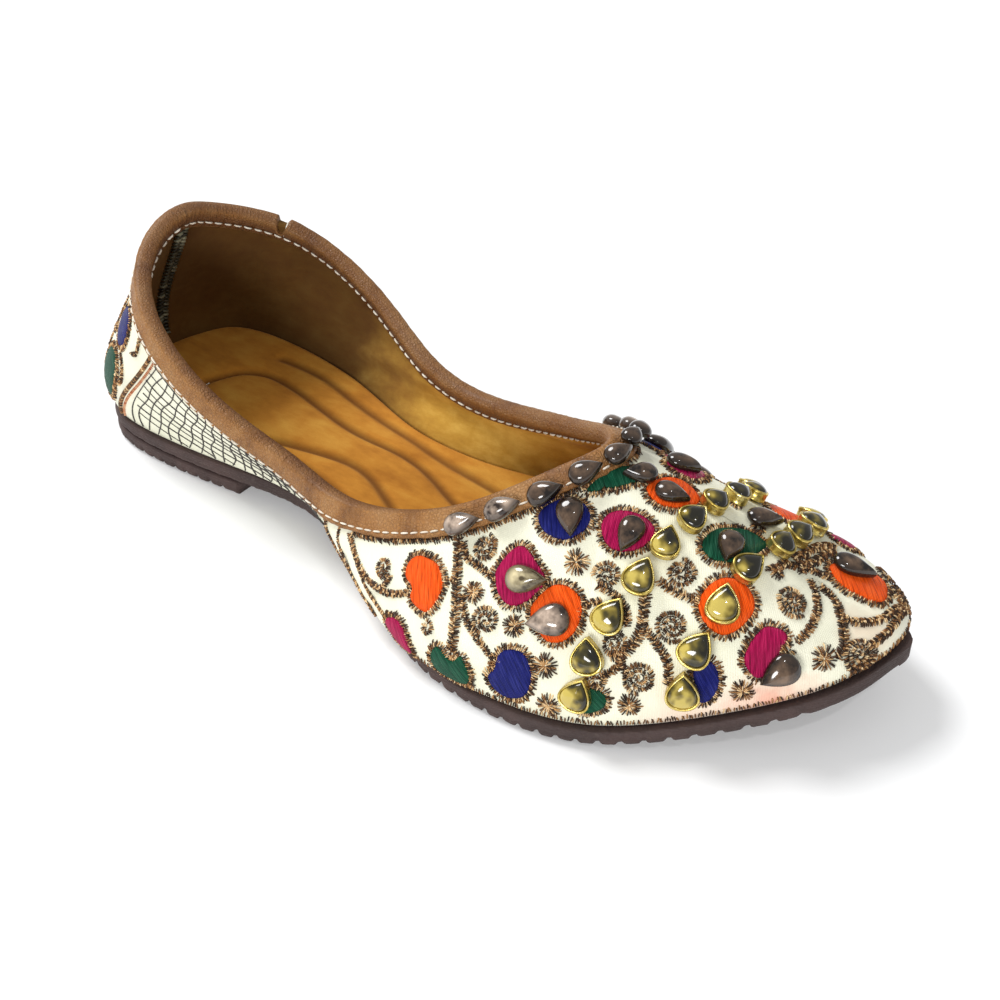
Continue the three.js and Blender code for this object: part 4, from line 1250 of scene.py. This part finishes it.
# Satin motifs: floss, how many sides have one, and an outline through stations and rises, where a
# rise beyond 1 is over the ridge
BOTH = 2
ONE = 1
BEANS = [
    ("orange", BOTH, [
        (6.08, 0.58), (6.09, 0.662), (6.2, 0.707), (6.34, 0.702), (6.5, 0.678), (6.62, 0.627), (6.7, 0.567),
        (6.69, 0.5), (6.62, 0.437), (6.51, 0.404), (6.34, 0.419), (6.23, 0.459), (6.24, 0.505),
        (6.16, 0.543),
    ]),
    ("magenta", BOTH, [
        (5.79, 0.182), (5.94, 0.269), (6.09, 0.275), (6.19, 0.226), (6.26, 0.147), (6.31, 0.055),
        (6.1, 0.05), (5.92, 0.1),
    ]),
    ("green", BOTH, [
        (6.68, 0.148), (6.75, 0.225), (6.87, 0.23), (6.97, 0.195), (7.11, 0.195), (7.18, 0.228),
        (7.25, 0.214), (7.35, 0.155), (7.37, 0.085), (7.26, 0.04), (7.05, 0.03), (6.84, 0.04), (6.72, 0.08),
    ]),
    ("navy", BOTH, [
        (7.78, 0.299), (7.88, 0.317), (8.03, 0.319), (8.17, 0.302), (8.28, 0.26), (8.33, 0.213),
        (8.31, 0.155), (8.21, 0.109), (8.02, 0.082), (7.84, 0.097), (7.7, 0.142), (7.67, 0.185),
        (7.74, 0.22), (7.74, 0.262),
    ]),
    ("magenta", BOTH, [
        (7.63, 0.702), (7.81, 0.665), (7.98, 0.615), (8.14, 0.572), (8.15, 0.533), (8.03, 0.502),
        (7.83, 0.475), (7.64, 0.49), (7.51, 0.53), (7.44, 0.57), (7.4, 0.611), (7.44, 0.653), (7.51, 0.684),
    ]),
    ("orange", BOTH, [
        (8.43, 0.543), (8.65, 0.529), (8.84, 0.498), (8.91, 0.456), (8.89, 0.415), (8.79, 0.382),
        (8.62, 0.361), (8.42, 0.364), (8.27, 0.391), (8.13, 0.422), (8.06, 0.455), (8.06, 0.482),
        (8.14, 0.514), (8.27, 0.538),
    ]),
    ("navy", BOTH, [
        (7.77, 0.803), (7.84, 0.838), (7.99, 0.847), (8.22, 0.839), (8.48, 0.803), (8.67, 0.766),
        (8.74, 0.727), (8.65, 0.699), (8.47, 0.686), (8.27, 0.684), (8.04, 0.708), (7.87, 0.748),
    ]),
    ("magenta", BOTH, [
        (9.03, 0.706), (9.09, 0.737), (9.23, 0.762), (9.45, 0.781), (9.68, 0.789), (9.84, 0.783),
        (9.94, 0.761), (9.9, 0.722), (9.76, 0.682), (9.58, 0.658), (9.37, 0.647), (9.2, 0.653),
        (9.08, 0.676),
    ]),
    ("green", ONE, [
        (8.52, 0.845), (8.7, 0.868), (9.02, 0.89), (9.33, 0.945), (9.66, 0.99), (9.86, 0.995),
        (9.81, 0.944), (9.54, 0.884), (9.17, 0.837), (8.81, 0.824),
    ]),
    ("orange", ONE, [
        (9.83, 0.906), (9.94, 0.968), (10.04, 1.034), (10.13, 1.077), (10.28, 1.079), (10.46, 1.036),
        (10.47, 0.963), (10.28, 0.893), (10.08, 0.864), (9.91, 0.868),
    ]),
    ("magenta", ONE, [
        (9.62, 1.17), (9.58, 1.26), (9.72, 1.31), (9.95, 1.28), (10.13, 1.19), (10.13, 1.141), (9.9, 1.13),
    ]),
    ("green", ONE, [
        (10.49, 0.759), (10.53, 0.808), (10.63, 0.862), (10.77, 0.916), (10.99, 0.986), (11.16, 1.015),
        (11.35, 1.0), (11.32, 0.938), (11.14, 0.85), (10.91, 0.771), (10.7, 0.733), (10.57, 0.73),
    ]),
    ("orange", BOTH, [
        (10.41, 0.536), (10.47, 0.588), (10.57, 0.632), (10.7, 0.668), (10.86, 0.681), (10.96, 0.658),
        (11.01, 0.612), (10.99, 0.553), (10.9, 0.496), (10.79, 0.451), (10.65, 0.425), (10.52, 0.446),
        (10.44, 0.485),
    ]),
    ("magenta", BOTH, [
        (11.05, 0.47), (11.16, 0.486), (11.29, 0.471), (11.33, 0.427), (11.25, 0.381), (11.19, 0.326),
        (11.13, 0.266), (11.04, 0.219), (10.94, 0.215), (10.87, 0.258), (10.83, 0.309), (10.86, 0.361),
        (10.93, 0.413),
    ]),
    ("orange", ONE, [
        (11.97, 1.249), (11.82, 1.335), (11.84, 1.444), (11.89, 1.552), (12.04, 1.619), (12.35, 1.601),
        (12.6, 1.557), (12.69, 1.461), (12.64, 1.36), (12.55, 1.274), (12.33, 1.23),
    ]),
    ("green", BOTH, [
        (9.0, 0.18), (9.1, 0.213), (9.25, 0.214), (9.37, 0.2), (9.43, 0.166), (9.38, 0.127), (9.25, 0.102),
        (9.1, 0.096), (9.0, 0.129),
    ]),
    ("navy", BOTH, [
        (10.36, 0.283), (10.45, 0.314), (10.53, 0.312), (10.58, 0.276), (10.6, 0.218), (10.57, 0.162),
        (10.51, 0.122), (10.44, 0.117), (10.39, 0.155), (10.37, 0.221),
    ]),
    ("navy", BOTH, [
        (1.5, 0.73), (1.62, 0.79), (1.76, 0.77), (1.84, 0.7), (1.85, 0.62), (1.76, 0.575), (1.62, 0.6),
        (1.52, 0.66),
    ]),
    ("green", BOTH, [
        (1.5, 0.33), (1.56, 0.45), (1.7, 0.51), (1.84, 0.48), (1.9, 0.37), (1.88, 0.22), (1.78, 0.13),
        (1.62, 0.15), (1.53, 0.23),
    ]),
    ("magenta", BOTH, [
        (0.62, 0.52), (0.72, 0.63), (0.9, 0.66), (1.05, 0.6), (1.08, 0.48), (0.98, 0.38), (0.8, 0.35),
        (0.67, 0.42),
    ]),
    ("orange", BOTH, [
        (0.5, 0.16), (0.6, 0.25), (0.8, 0.27), (0.95, 0.21), (0.92, 0.12), (0.75, 0.08), (0.58, 0.09),
    ]),
]
# Round motifs and stars: station, rise, radius in mm, and how many sides have one
COILS = [
    (7.14, 0.732, 3.7, BOTH), (5.73, 0.575, 3.1, BOTH), (6.57, 0.32, 2.4, BOTH), (7.45, 0.418, 3.9, BOTH),
    (7.76, 0.24, 2.4, BOTH), (9.23, 0.57, 3.6, BOTH), (10.24, 0.634, 3.8, BOTH), (10.14, 0.447, 4.1, BOTH),
    (9.44, 0.374, 3.6, BOTH), (9.81, 0.257, 4.2, BOTH), (9.27, 0.25, 2.9, BOTH), (8.77, 0.463, 2.4, BOTH),
    (11.56, 0.662, 4.3, ONE), (12.21, 0.202, 4.9, BOTH), (10.64, 1.163, 2.4, ONE), (11.08, 1.089, 2.6, ONE),
    (11.31, 0.387, 2.5, BOTH), (6.22, 0.515, 2.1, BOTH), (7.05, 0.215, 2.2, BOTH), (11.43, 0.812, 2.6, ONE),
    (1.42, 0.55, 2.4, BOTH), (0.35, 0.78, 2.6, BOTH), (1.25, 0.22, 3.0, BOTH), (0.28, 0.42, 3.0, BOTH),
    (14.9, 0.66, 3.4, ONE), (11.9, 1.12, 2.2, ONE),
]
STARS = [
    (8.62, 0.606, 3.1, BOTH), (7.17, 0.534, 3.0, BOTH), (7.88, 0.404, 2.9, BOTH), (8.49, 0.278, 3.1, BOTH),
    (8.63, 0.106, 3.0, BOTH), (9.71, 0.141, 3.0, BOTH), (10.82, 0.145, 3.0, BOTH),
    (11.73, 0.275, 3.3, BOTH), (1.1, 0.8, 2.3, BOTH), (1.3, 0.4, 2.2, BOTH),
]
# Stems: half width in mm, how many sides have one, and places along them
VINES = [
    (1.75, BOTH, [(6.72, 0.8), (6.81, 0.688), (6.9, 0.566), (6.98, 0.449), (7.02, 0.353), (7.04, 0.235)]),
    (1.1, BOTH, [
        (5.15, 0.7), (5.17, 0.653), (5.28, 0.506), (5.46, 0.418), (5.72, 0.405), (5.98, 0.437),
        (6.2, 0.487),
    ]),
    (1.0, BOTH, [(5.84, 0.53), (5.79, 0.471), (5.7, 0.415)]),
    (0.7, BOTH, [(6.68, 0.592), (6.85, 0.594)]),
    (1.2, BOTH, [(6.82, 0.773), (6.92, 0.703), (7.12, 0.653), (7.31, 0.607), (7.45, 0.574)]),
    (1.2, BOTH, [(7.02, 0.52), (7.16, 0.418), (7.32, 0.357), (7.51, 0.305), (7.66, 0.269)]),
    (1.2, BOTH, [(9.12, 0.534), (9.33, 0.526), (9.49, 0.506), (9.59, 0.473), (9.59, 0.434)]),
    (1.2, BOTH, [(8.92, 0.471), (9.06, 0.484), (9.2, 0.495)]),
    (1.6, BOTH, [(9.83, 0.535), (9.8, 0.474), (9.78, 0.423), (9.7, 0.379), (9.57, 0.345), (9.41, 0.338)]),
    (1.3, BOTH, [(9.84, 0.433), (9.95, 0.393), (10.06, 0.349), (10.11, 0.296), (10.11, 0.225)]),
    (1.3, BOTH, [(10.0, 0.589), (10.14, 0.568), (10.29, 0.557), (10.42, 0.54)]),
    (1.2, BOTH, [(9.55, 0.334), (9.52, 0.297), (9.39, 0.273), (9.32, 0.25)]),
    (1.1, BOTH, [(9.56, 0.325), (9.61, 0.29), (9.69, 0.269)]),
    (1.3, ONE, [
        (12.33, 0.899), (12.18, 0.787), (11.99, 0.666), (11.79, 0.555), (11.6, 0.469), (11.43, 0.405),
    ]),
    (1.5, ONE, [
        (12.7, 0.884), (12.7, 0.782), (12.41, 0.629), (12.2, 0.482), (12.06, 0.346), (11.9, 0.259),
    ]),
    (1.3, ONE, [(12.35, 0.575), (12.55, 0.5), (12.85, 0.44), (13.2, 0.37), (13.5, 0.27)]),
    (1.3, ONE, [(12.42, 0.251), (12.67, 0.264), (12.93, 0.285), (13.2, 0.282), (13.5, 0.2)]),
    (1.4, ONE, [
        (11.43, 0.823), (11.72, 0.93), (12.05, 0.99), (11.94, 1.148), (11.67, 1.287), (11.56, 1.391),
    ]),
    (1.4, ONE, [(11.85, 1.04), (11.56, 1.248), (11.43, 1.356), (11.4, 1.438)]),
    (1.2, ONE, [(12.15, 0.95), (12.2, 1.08), (12.3, 1.2)]),
    (0.55, BOTH, [(4.98, 0.7), (4.92, 0.5), (5.0, 0.33), (5.2, 0.18), (5.5, 0.08)]),
    (0.55, BOTH, [(5.17, 0.66), (5.24, 0.529), (5.34, 0.398), (5.49, 0.299), (5.71, 0.236), (5.86, 0.2)]),
    (0.5, BOTH, [(4.72, 0.68), (4.64, 0.45), (4.7, 0.25), (4.85, 0.08)]),
    (0.8, BOTH, [(2.06, 0.8), (2.08, 0.7), (2.02, 0.66)]),
    (0.9, BOTH, [(1.86, 0.55), (1.95, 0.5), (2.0, 0.4), (1.97, 0.33)]),
    (1.0, BOTH, [(0.4, 0.05), (0.32, 0.2), (0.3, 0.34)]),
    (1.0, BOTH, [(0.35, 0.7), (0.5, 0.62), (0.62, 0.56)]),
    (1.0, BOTH, [(1.08, 0.5), (1.22, 0.48), (1.38, 0.52)]),
    (1.0, BOTH, [(1.25, 0.33), (1.22, 0.44), (1.12, 0.52)]),
]
PATCH_SHARES = (1.0, 0.985, 0.94, 0.84, 0.64, 0.4, 0.18)
PATCH_HEIGHTS = (0.02, 0.34, 0.58, 0.74, 0.84, 0.90, 0.92)
PATCH_STEPS = 72


def crowned(rings, crown):
    """Points and outward faces of rings that close on one point at the crown."""
    size = len(rings[0])
    last = (len(rings) - 1) * size
    faces = [f[::-1] for f in grid_faces(len(rings), size)]
    faces += [(last + k, last + (k + 1) % size, last + size) for k in range(size)]
    return np.vstack([*rings, crown]), faces


def satin_patch(pairs, turn):
    """A raised pad of floss inside an outline: points, faces and thread directions."""
    rows = spline(pairs, True)
    edge = rows(np.linspace(0, len(pairs), PATCH_STEPS, endpoint=False))
    centre = edge.mean(0)
    rings = []
    for share, height in zip(PATCH_SHARES, PATCH_HEIGHTS):
        places, normals = on_upper(*(centre + (edge - centre) * share).T)
        rings.append(places + normals * height)
    place, u, v, normal = frame_at(*centre)
    points, faces = crowned(rings, place + normal * PATCH_HEIGHTS[-1])
    ring = rings[0]
    if np.cross(ring[1:] - ring[:-1], ring[1:] - place).sum(0) @ normal <= 0:
        faces = [f[::-1] for f in faces]
    flat = np.stack([(points - place) @ u, (points - place) @ v], -1)
    cos, sin = math.cos(math.radians(turn)), math.sin(math.radians(turn))
    return points, faces, flat @ np.array([[cos, -sin], [sin, cos]])


class Parts:
    """Small closed forms gathered into one mesh, with the numbers that their maps need."""

    def __init__(self, *maps):
        self.points, self.faces, self.slots = [], [], []
        self.maps = {name: [] for name in maps}

    def add(self, points, faces, slot, *values):
        start = sum(len(p) for p in self.points)
        self.points.append(points)
        self.faces += [tuple(start + k for k in face) for face in faces]
        self.slots += [slot] * len(faces)
        for rows, more in zip(self.maps.values(), values):
            rows.append(more)

    def make(self, name, materials):
        piece = make_mesh(name, np.vstack(self.points), self.faces, materials, face_slots=self.slots)
        for key, rows in self.maps.items():
            add_map(piece, key, np.vstack(rows))
        return piece


def opposite(pairs):
    return [(ROUND - s, rise) for s, rise in pairs]


def embroider():
    for colour in FLOSS:
        patches = Parts("floss")
        for name, sides, pairs in BEANS:
            if name == colour:
                for shape in (pairs, opposite(pairs))[:sides]:
                    points, faces, directions = satin_patch(shape, rng.uniform(10, 60))
                    patches.add(points, faces, 0, directions)
                    stitch_outline(shape)
        belongs(patches.make("satin_" + colour, [floss[colour]]), "satin_" + colour)
    for stitch, rows in ((stitch_coil, COILS), (stitch_star, STARS)):
        for station, rise, radius, sides in rows:
            for s in (station, ROUND - station)[:sides]:
                stitch(s, rise, radius)
    for half, sides, pairs in VINES:
        for shape in (pairs, opposite(pairs))[:sides]:
            stitch_vine(shape, half)
    stitch_hem()
    outlines.make("motif_outlines", "zari_thread", zari)
    chains.make("stems_coils_and_stars", "zari_thread", zari)
    edge_stitches.make("hem_and_collar_stitches", "zari_thread", zari)


HEM_PITCH = 0.62
# The zigzag below the binding: drops of its upper and lower ends, and its lean along the collar
ZIGZAG = ((5.9, 7.5, 0.45), (6.0, 7.1, -0.5))
ZIGZAG_ENDS = (5.2, COLLAR_ROUND - 5.2)


def stitch_hem():
    """Stitches over the upper's lower edge along the forepart, and a zigzag below the binding."""
    places, along, aside = line_of([(5.9 + 0.5 * k, 0.012) for k in range(29)], HEM_PITCH)
    upward = aside * np.where(aside[:, 2:] < 0, -1, 1)
    lay(edge_stitches, (places, along, upward), 0, (0.9, 1.7), (-0.5, 0.7), (0.25, 0.4), (0.45, 0.4))
    s = np.arange(*ZIGZAG_ENDS, 0.016)
    run = run_along(collar_spline(s))
    s = np.interp(np.arange(0, run[-1], HEM_PITCH), run, s)
    edge, along, down, _ = collar_frames(s)
    count = len(s)
    for low, high, lean in ZIGZAG:
        start, n0 = skin.nearest(edge + down * scatter(count, low - 0.1, low + 0.1)[:, None])
        end, n1 = skin.nearest(edge + down * scatter(count, high - 0.4, high + 0.35)[:, None]
                               + along * (lean + scatter(count, -0.15, 0.15))[:, None])
        edge_stitches.add(start + n0 * 0.35, end, unit(n0 + n1), 0.2, scatter(count, 0.25, 0.4),
                          shades(count, 0.62, 0.25))


# Quarter: a net of thin threads between a braided seam and the forepart's strips
NET_FIRST = 2.36
NET_LAST = 4.42
NET_LINES = 24
NET_ROWS = 21
NET_ROW = 3.3
NET_FALL = 0.34
NET_FOOT = 0.02
NET_TOP = 0.92
NET_RISES = (NET_FOOT, 0.2, 0.4, 0.6, 0.8, NET_TOP)
BRAID = [(1.9, 0.02), (2.02, 0.2), (2.14, 0.42), (2.22, 0.62), (2.29, 0.83)]
BRAID_HALF = 0.7
PIPING_HALF = 0.45
# Long stitches below the binding: where they start and end round the collar, length and pitch
DASHES_ENDS = (2.35, 4.9)
DASH = 2.2
DASH_PITCH = 2.9


def cord(pairs, pitch, radius, height, tones):
    """A thin thread of the net along a curve."""
    places, normals, _ = curve_places(pairs, pitch)
    lifted = places + normals * height
    long = unit(lifted[1:] - lifted[:-1]) * 0.05
    dark_net.add(lifted[:-1] - long, lifted[1:] + long, unit(normals[1:] + normals[:-1]), radius, 0.0,
                 shades(len(long), *tones))


def net_curves():
    """The net's curves on the right side, each with its pitch, radius, height and tones."""
    last = NET_LINES - 1
    for k in range(NET_LINES):
        top = NET_FIRST + (NET_LAST - NET_FIRST) * k / last + 0.10
        lean = 0.36 - 0.16 * k / last
        line = [(top - lean * (1 - r) + 0.018 * math.sin(r * 16 + k * 1.7), r) for r in NET_RISES]
        yield line, 0.9, 0.27, 0.12, (0.75, 0.2)
    stations = np.linspace(2.12, 4.46, 40)
    foot, head = (skin.at(stations, stations * 0 + rise)[0] for rise in (0.02, 0.98))
    for k in range(NET_ROWS):
        height = NET_ROW * (k + 0.6) - NET_FALL * (foot[:, 0] - foot[0, 0])
        rise = height / (head[:, 2] - foot[:, 2]) + 0.012 * np.sin(stations * 6 + k * 1.3)
        inside = (rise > NET_FOOT) & (rise < NET_TOP) & (stations > 2.17 + 0.17 * rise)
        if inside.sum() > 4:
            yield list(zip(stations[inside], rise[inside])), 1.0, 0.15 + 0.06 * (k % 2), 0.1, (0.5, 0.4)


def make_quarters():
    for left in (False, True):
        def placed(pairs):
            return opposite(pairs) if left else pairs

        for line, *settings in net_curves():
            cord(placed(line), *settings)
        seam = line_of(placed(BRAID), 0.7)
        for way, tones in ((BRAID_HALF, (0.25, 0.5)), (-BRAID_HALF, (0.5, 0.35))):
            lay(chains, seam, -way, way, 0.8, 0.45, tones, 0.26, 0.1)
        edge = line_of(placed([(s + 0.06, r) for s, r in BRAID]), 0.9)
        lay(piping, edge, -PIPING_HALF, PIPING_HALF, 0.3, 0.3, scatter(len(edge[0]), 0, 1), 0.26)
        ends = [COLLAR_ROUND - s for s in DASHES_ENDS[::-1]] if left else DASHES_ENDS
        edge, _, down, _ = collar_frames(np.arange(*ends, 0.02))
        run = run_along(edge)
        for drop, threads, tones in ((6.75, dark_net, (0.8, 0.2)), (7.35, dashes, (0, 0.2))):
            starts = np.arange(0, run[-1] - DASH, DASH_PITCH)
            places, n = skin.nearest(edge + down * drop)
            pick, stop = np.searchsorted(run, starts), np.searchsorted(run, starts + DASH)
            threads.add(places[pick], places[stop], n[pick], 0.2, 0.25, shades(len(pick), *tones))


# Running stitches through the binding, outside and in, and the braid over the seam inside the back
RUNNING_PITCH = 3.05
RUNNING_LENGTH = 2.35
RUNNING_STEPS = 3600
WHITE_RADIUS = 0.31
WHITE_ARCH = 0.26
# A loose end of white thread on the insole, seen from above
INSOLE_MARK = [(26.1, -10.2), (26.3, -8.8), (26.5, -7.3), (27.2, -6.0)]
BACK_RISES = np.linspace(0.12, 0.9, 32)


def running_stitch(drop, height, phase, darkest):
    edge, _, down, _ = collar_frames(np.linspace(0, COLLAR_ROUND, RUNNING_STEPS, endpoint=False))
    line, face = skin.nearest(edge + down * drop)
    line = line + face * height
    run = run_along(line)
    count = int(run[-1] / RUNNING_PITCH)
    starts = (np.arange(count) + phase) * run[-1] / count
    ends = starts + (RUNNING_LENGTH + scatter(count, -0.2, 0.15))
    pick, stop = (np.searchsorted(run, at) % len(run) for at in (starts, ends))
    up = face[(pick + stop) // 2] * (1 if height > 0 else -1)
    aside = np.cross(unit(line[stop] - line[pick]), up) * scatter(count, -0.08, 0.08)[:, None]
    white.add(line[pick] + aside, line[stop] - aside, up, WHITE_RADIUS, WHITE_ARCH,
              scatter(count, darkest, 1.0))


def make_collar_stitches(insole_top):
    running_stitch(STITCH_DROP, BINDING_OUT - 0.12, 0.3, 0.5)
    running_stitch(INNER_STITCH_DROP, BINDING_BACK - BINDING_THICKNESS + 0.1, 0.6, 0.3)
    picks = [np.argmin(np.linalg.norm(insole_top[:, :2] - spot, axis=1)) for spot in INSOLE_MARK]
    mark = insole_top[picks] + (0, 0, 0.12)
    white.add(mark[:-1], mark[1:], np.tile([0.0, 0, 1], (3, 1)), 0.2, 0.2, scatter(3, 0.7, 1))
    edge, _, down, normal = collar_frames(np.array([NOTCH - NOTCH_HALF * 0.9]))
    inside = edge + down * NOTCH_DROP + normal * (BINDING_BACK - BINDING_THICKNESS - 0.05)
    white.add(edge - down * 1.5 - normal, inside, -normal, 0.3, 0.3, 1.0)
    white.make("binding_stitches", "white_thread", cotton)
    points, normals = skin.at(BACK_RISES * 0, BACK_RISES)
    inside = points - normals * (WALL + 0.1)
    for side in (1, -1):
        end = inside + (0, 2.3 * side, -0.7)
        back_braid.add(inside - (0, 0.3 * side, 0), end, -normals, 0.62, 0.8, scatter(len(end), 0.0, 1.0))
    back_braid.make("back_seam_braid", "zari_thread", braid_thread)
    dark_net.make("quarter_net", "net_thread", net_thread)
    piping.make("quarter_seam_piping", "satin_orange", seam_thread)
    dashes.make("quarter_dashes", "zari_thread", pale_zari)


# Stones
STONE_SIDES = 36
DROP_PEAK = 0.77
DROP_CROWN = 3.4
SETTING_CROWN = 1.6
KUNDAN_BASE = 2.15
KUNDAN_EDGE = 0.855
KUNDAN_CROWN = 3.7
CROWN_SET_BACK = 0.06
# How bright the painted reflection of the foil under each kundan stone is, from the lowest of each row up
# the near side
FOIL_REFLECTION_A = [0.15, -0.02, 0.1, 0.12, -0.02, -0.14, -0.16, -0.18, -0.16, -0.1, 0.0, 0.05, 0.2]
FOIL_REFLECTION_B = [0.16, 0.02, 0.14, -0.14, -0.14, -0.16, -0.12, 0.05, 0.2]
# Which of its piece's materials each stone has
PEARL_THROAT = [1, 1, 0, 0, 0, 0, 0, 1, 1]
DROP_KINDS = [0, 0, 0, 0, 0, 0, 0, 2, 1, 0, 0, 0, 2, 1]
SETTING_LEVELS = [
    (0, 0.96), (0.2, 0.985), (0.45, 0.955), (1.8, 0.965), (2.1, 1.0), (2.45, 0.995), (2.62, 0.96),
    (2.64, 0.90), (2.5, 0.855), (2.0, 0.83),
]


def drop_outline(length, width):
    angle = 2 * math.pi * (np.arange(STONE_SIDES) + 0.5) / STONE_SIDES
    across = np.sin(angle) * np.sin(angle / 2) / DROP_PEAK
    return np.stack([np.cos(angle) * length / 2, across * width / 2], -1)


def make_stones(name, rows, levels, crown, lift, materials, kinds=None, painted_reflection=None):
    """Domed stones as one mesh: rings of the drop's outline at levels, and a crown."""
    stones = Parts("stone", "inside")
    for i, (station, rise, turn, length, width) in enumerate(rows):
        point, tip, across, normal = frame_at(station, rise, turn)
        reach = drop_outline(length, width) @ np.array([tip, across])
        found, _ = skin.nearest(point + reach)
        base = lift + max(0.0, float(np.max((found - point) @ normal)))
        rings = [point + reach * share + normal * (base + height) for height, share in levels]
        top = point + normal * (base + crown) - tip * length * CROWN_SET_BACK
        points, faces = crowned(rings, top)
        faces.append(tuple(range(STONE_SIDES))[::-1])
        shares = np.append(np.repeat([share for _, share in levels], STONE_SIDES), 0.0)
        around = np.vstack([drop_outline(2, 2) * share for _, share in levels] + [np.zeros((1, 2))])
        shown = np.stack([np.full(len(points), painted_reflection[i] if painted_reflection else 0.0), shares], -1)
        stones.add(points, faces, kinds[i] if kinds else 0, shown, around)
    return stones.make(name, materials)


def dome(low, high, edge=1.0, steps=9):
    """Levels of a polished dome from its widest ring up, nearly to its crown."""
    angles = [math.pi / 2 * k / steps for k in range(steps)]
    return [(low + (high - low) * math.sin(a), edge * math.cos(a)) for a in angles]


def numbered(name, rows):
    return ["%s_%d" % (name, i + 1) for i in range(len(rows))]


def make_all_stones():
    levels = [(0, 0.86), (0.5, 0.97)] + dome(1.1, DROP_CROWN)
    for name, rows, lift, materials, kinds, nodes in (
        ("throat_stones", THROAT_STONES, ON_BINDING, [glass, pearl], PEARL_THROAT, "throat_stone"),
        ("drop_stones", DROPS, ON_SKIN, [glass, pearl, cream_stone], DROP_KINDS, "drop"),
    ):
        stones = make_stones(name, rows, levels, DROP_CROWN, lift, materials, kinds)
        belongs(stones, "dark_stone", *numbered(nodes, rows))
    rows = KUNDAN_A + KUNDAN_B
    setting = make_stones("kundan_settings", rows, SETTING_LEVELS, SETTING_CROWN, ON_SKIN, [gold])
    belongs(setting, "gold_setting", *numbered("kundan_a", KUNDAN_A), *numbered("kundan_b", KUNDAN_B))
    levels = dome(KUNDAN_BASE, KUNDAN_CROWN, KUNDAN_EDGE)
    stones = make_stones("kundan_stones", rows, levels, KUNDAN_CROWN, ON_SKIN, [kundan],
                         painted_reflection=FOIL_REFLECTION_A + FOIL_REFLECTION_B)
    belongs(stones, "kundan_glass")


make_upper()
make_binding()
make_soles()
insole_top = make_insole()
make_quarters()
embroider()
make_collar_stitches(insole_top)
make_all_stones()


# Camera, found together with the shoe's own sizes: where it looks, from which side and how far
CAMERA_AZIMUTH = 37.34
CAMERA_ELEVATION = 37.19
CAMERA_DISTANCE = 397.38
CAMERA_TARGET = (121.87, 15.54, -5.96)
CAMERA_ROLL = -1.09
FOCAL_SHARE = 1.36173
SENSOR = 36.0
CLIP_START = 0.01

# Light: a broad key from the upper left and behind, a low side light and a small sparkle on the stones
SKY = 0.48
FLOOR = (0.82, 0.825, 0.83)
FLOOR_GLOW = 0.13
FLOOR_SIDE = 6.0
KEY = {"energy": 2.5, "angle": math.radians(26)}
KEY_AIM = (0.64, -0.04, -0.77)
SIDE = {"energy": 5.0, "shape": "ELLIPSE", "size": 0.45, "size_y": 0.45 * 0.45}
SPARKLE = {"energy": 0.8, "shape": "ELLIPSE", "size": 0.07, "size_y": 0.07 * 0.45}


def place_camera():
    az, el, roll = (math.radians(a) for a in (CAMERA_AZIMUTH, CAMERA_ELEVATION, CAMERA_ROLL))
    back = Vector((math.sin(az) * math.cos(el), -math.cos(az) * math.cos(el), math.sin(el)))
    right = (-back).cross(Vector((0, 0, 1))).normalized()
    up = right.cross(-back)
    across = right * math.cos(roll) + up * math.sin(roll)
    above = up * math.cos(roll) - right * math.sin(roll)
    place = (Vector(CAMERA_TARGET) + back * CAMERA_DISTANCE + Vector(SHIFT)) / 1000
    data = bpy.data.cameras.new("camera")
    data.sensor_width = SENSOR
    data.lens = SENSOR * FOCAL_SHARE
    data.clip_start = CLIP_START
    camera = bpy.data.objects.new("camera", data)
    camera.matrix_world = Matrix.Translation(place) @ Matrix((across, above, back)).transposed().to_4x4()
    bpy.context.scene.collection.objects.link(camera)
    bpy.context.scene.camera = camera


def add_light(name, kind, place, aim, settings):
    """A light at one place in metres that shines towards another."""
    data = bpy.data.lights.new(name, kind)
    for key, value in settings.items():
        setattr(data, key, value)
    light = bpy.data.objects.new(name, data)
    turn = (Vector(aim) - Vector(place)).to_track_quat("-Z", "Y").to_matrix().to_4x4()
    light.matrix_world = Matrix.Translation(Vector(place)) @ turn
    bpy.context.scene.collection.objects.link(light)


def set_stage():
    scene = bpy.context.scene
    scene.view_settings.view_transform = "Standard"
    look = Look("floor")
    look.finish(FLOOR, 0.95, Emission_Strength=FLOOR_GLOW, Emission_Color=(1, 1, 1, 1),
                Specular_IOR_Level=0.2)
    corners = [(-1, -1), (1, -1), (1, 1), (-1, 1)]
    mesh = bpy.data.meshes.new("floor")
    mesh.from_pydata([(x * FLOOR_SIDE, y * FLOOR_SIDE, 0) for x, y in corners], [], [(0, 1, 2, 3)])
    mesh.materials.append(look.material)
    floor = bpy.data.objects.new("floor", mesh)
    scene.collection.objects.link(floor)
    world = bpy.data.worlds.new("studio")
    world.use_nodes = True
    background = world.node_tree.nodes["Background"]
    background.inputs["Color"].default_value = (1, 1, 1, 1)
    background.inputs["Strength"].default_value = SKY
    scene.world = world
    add_light("key", "SUN", (0, 0, 0), KEY_AIM, KEY)
    add_light("side", "AREA", (0.25, -0.9, 0.36), (0.02, 0, 0.03), SIDE)
    add_light("sparkle", "AREA", (0.5, -0.25, 0.85), (0.05, 0, 0.04), SPARKLE)


place_camera()
set_stage()
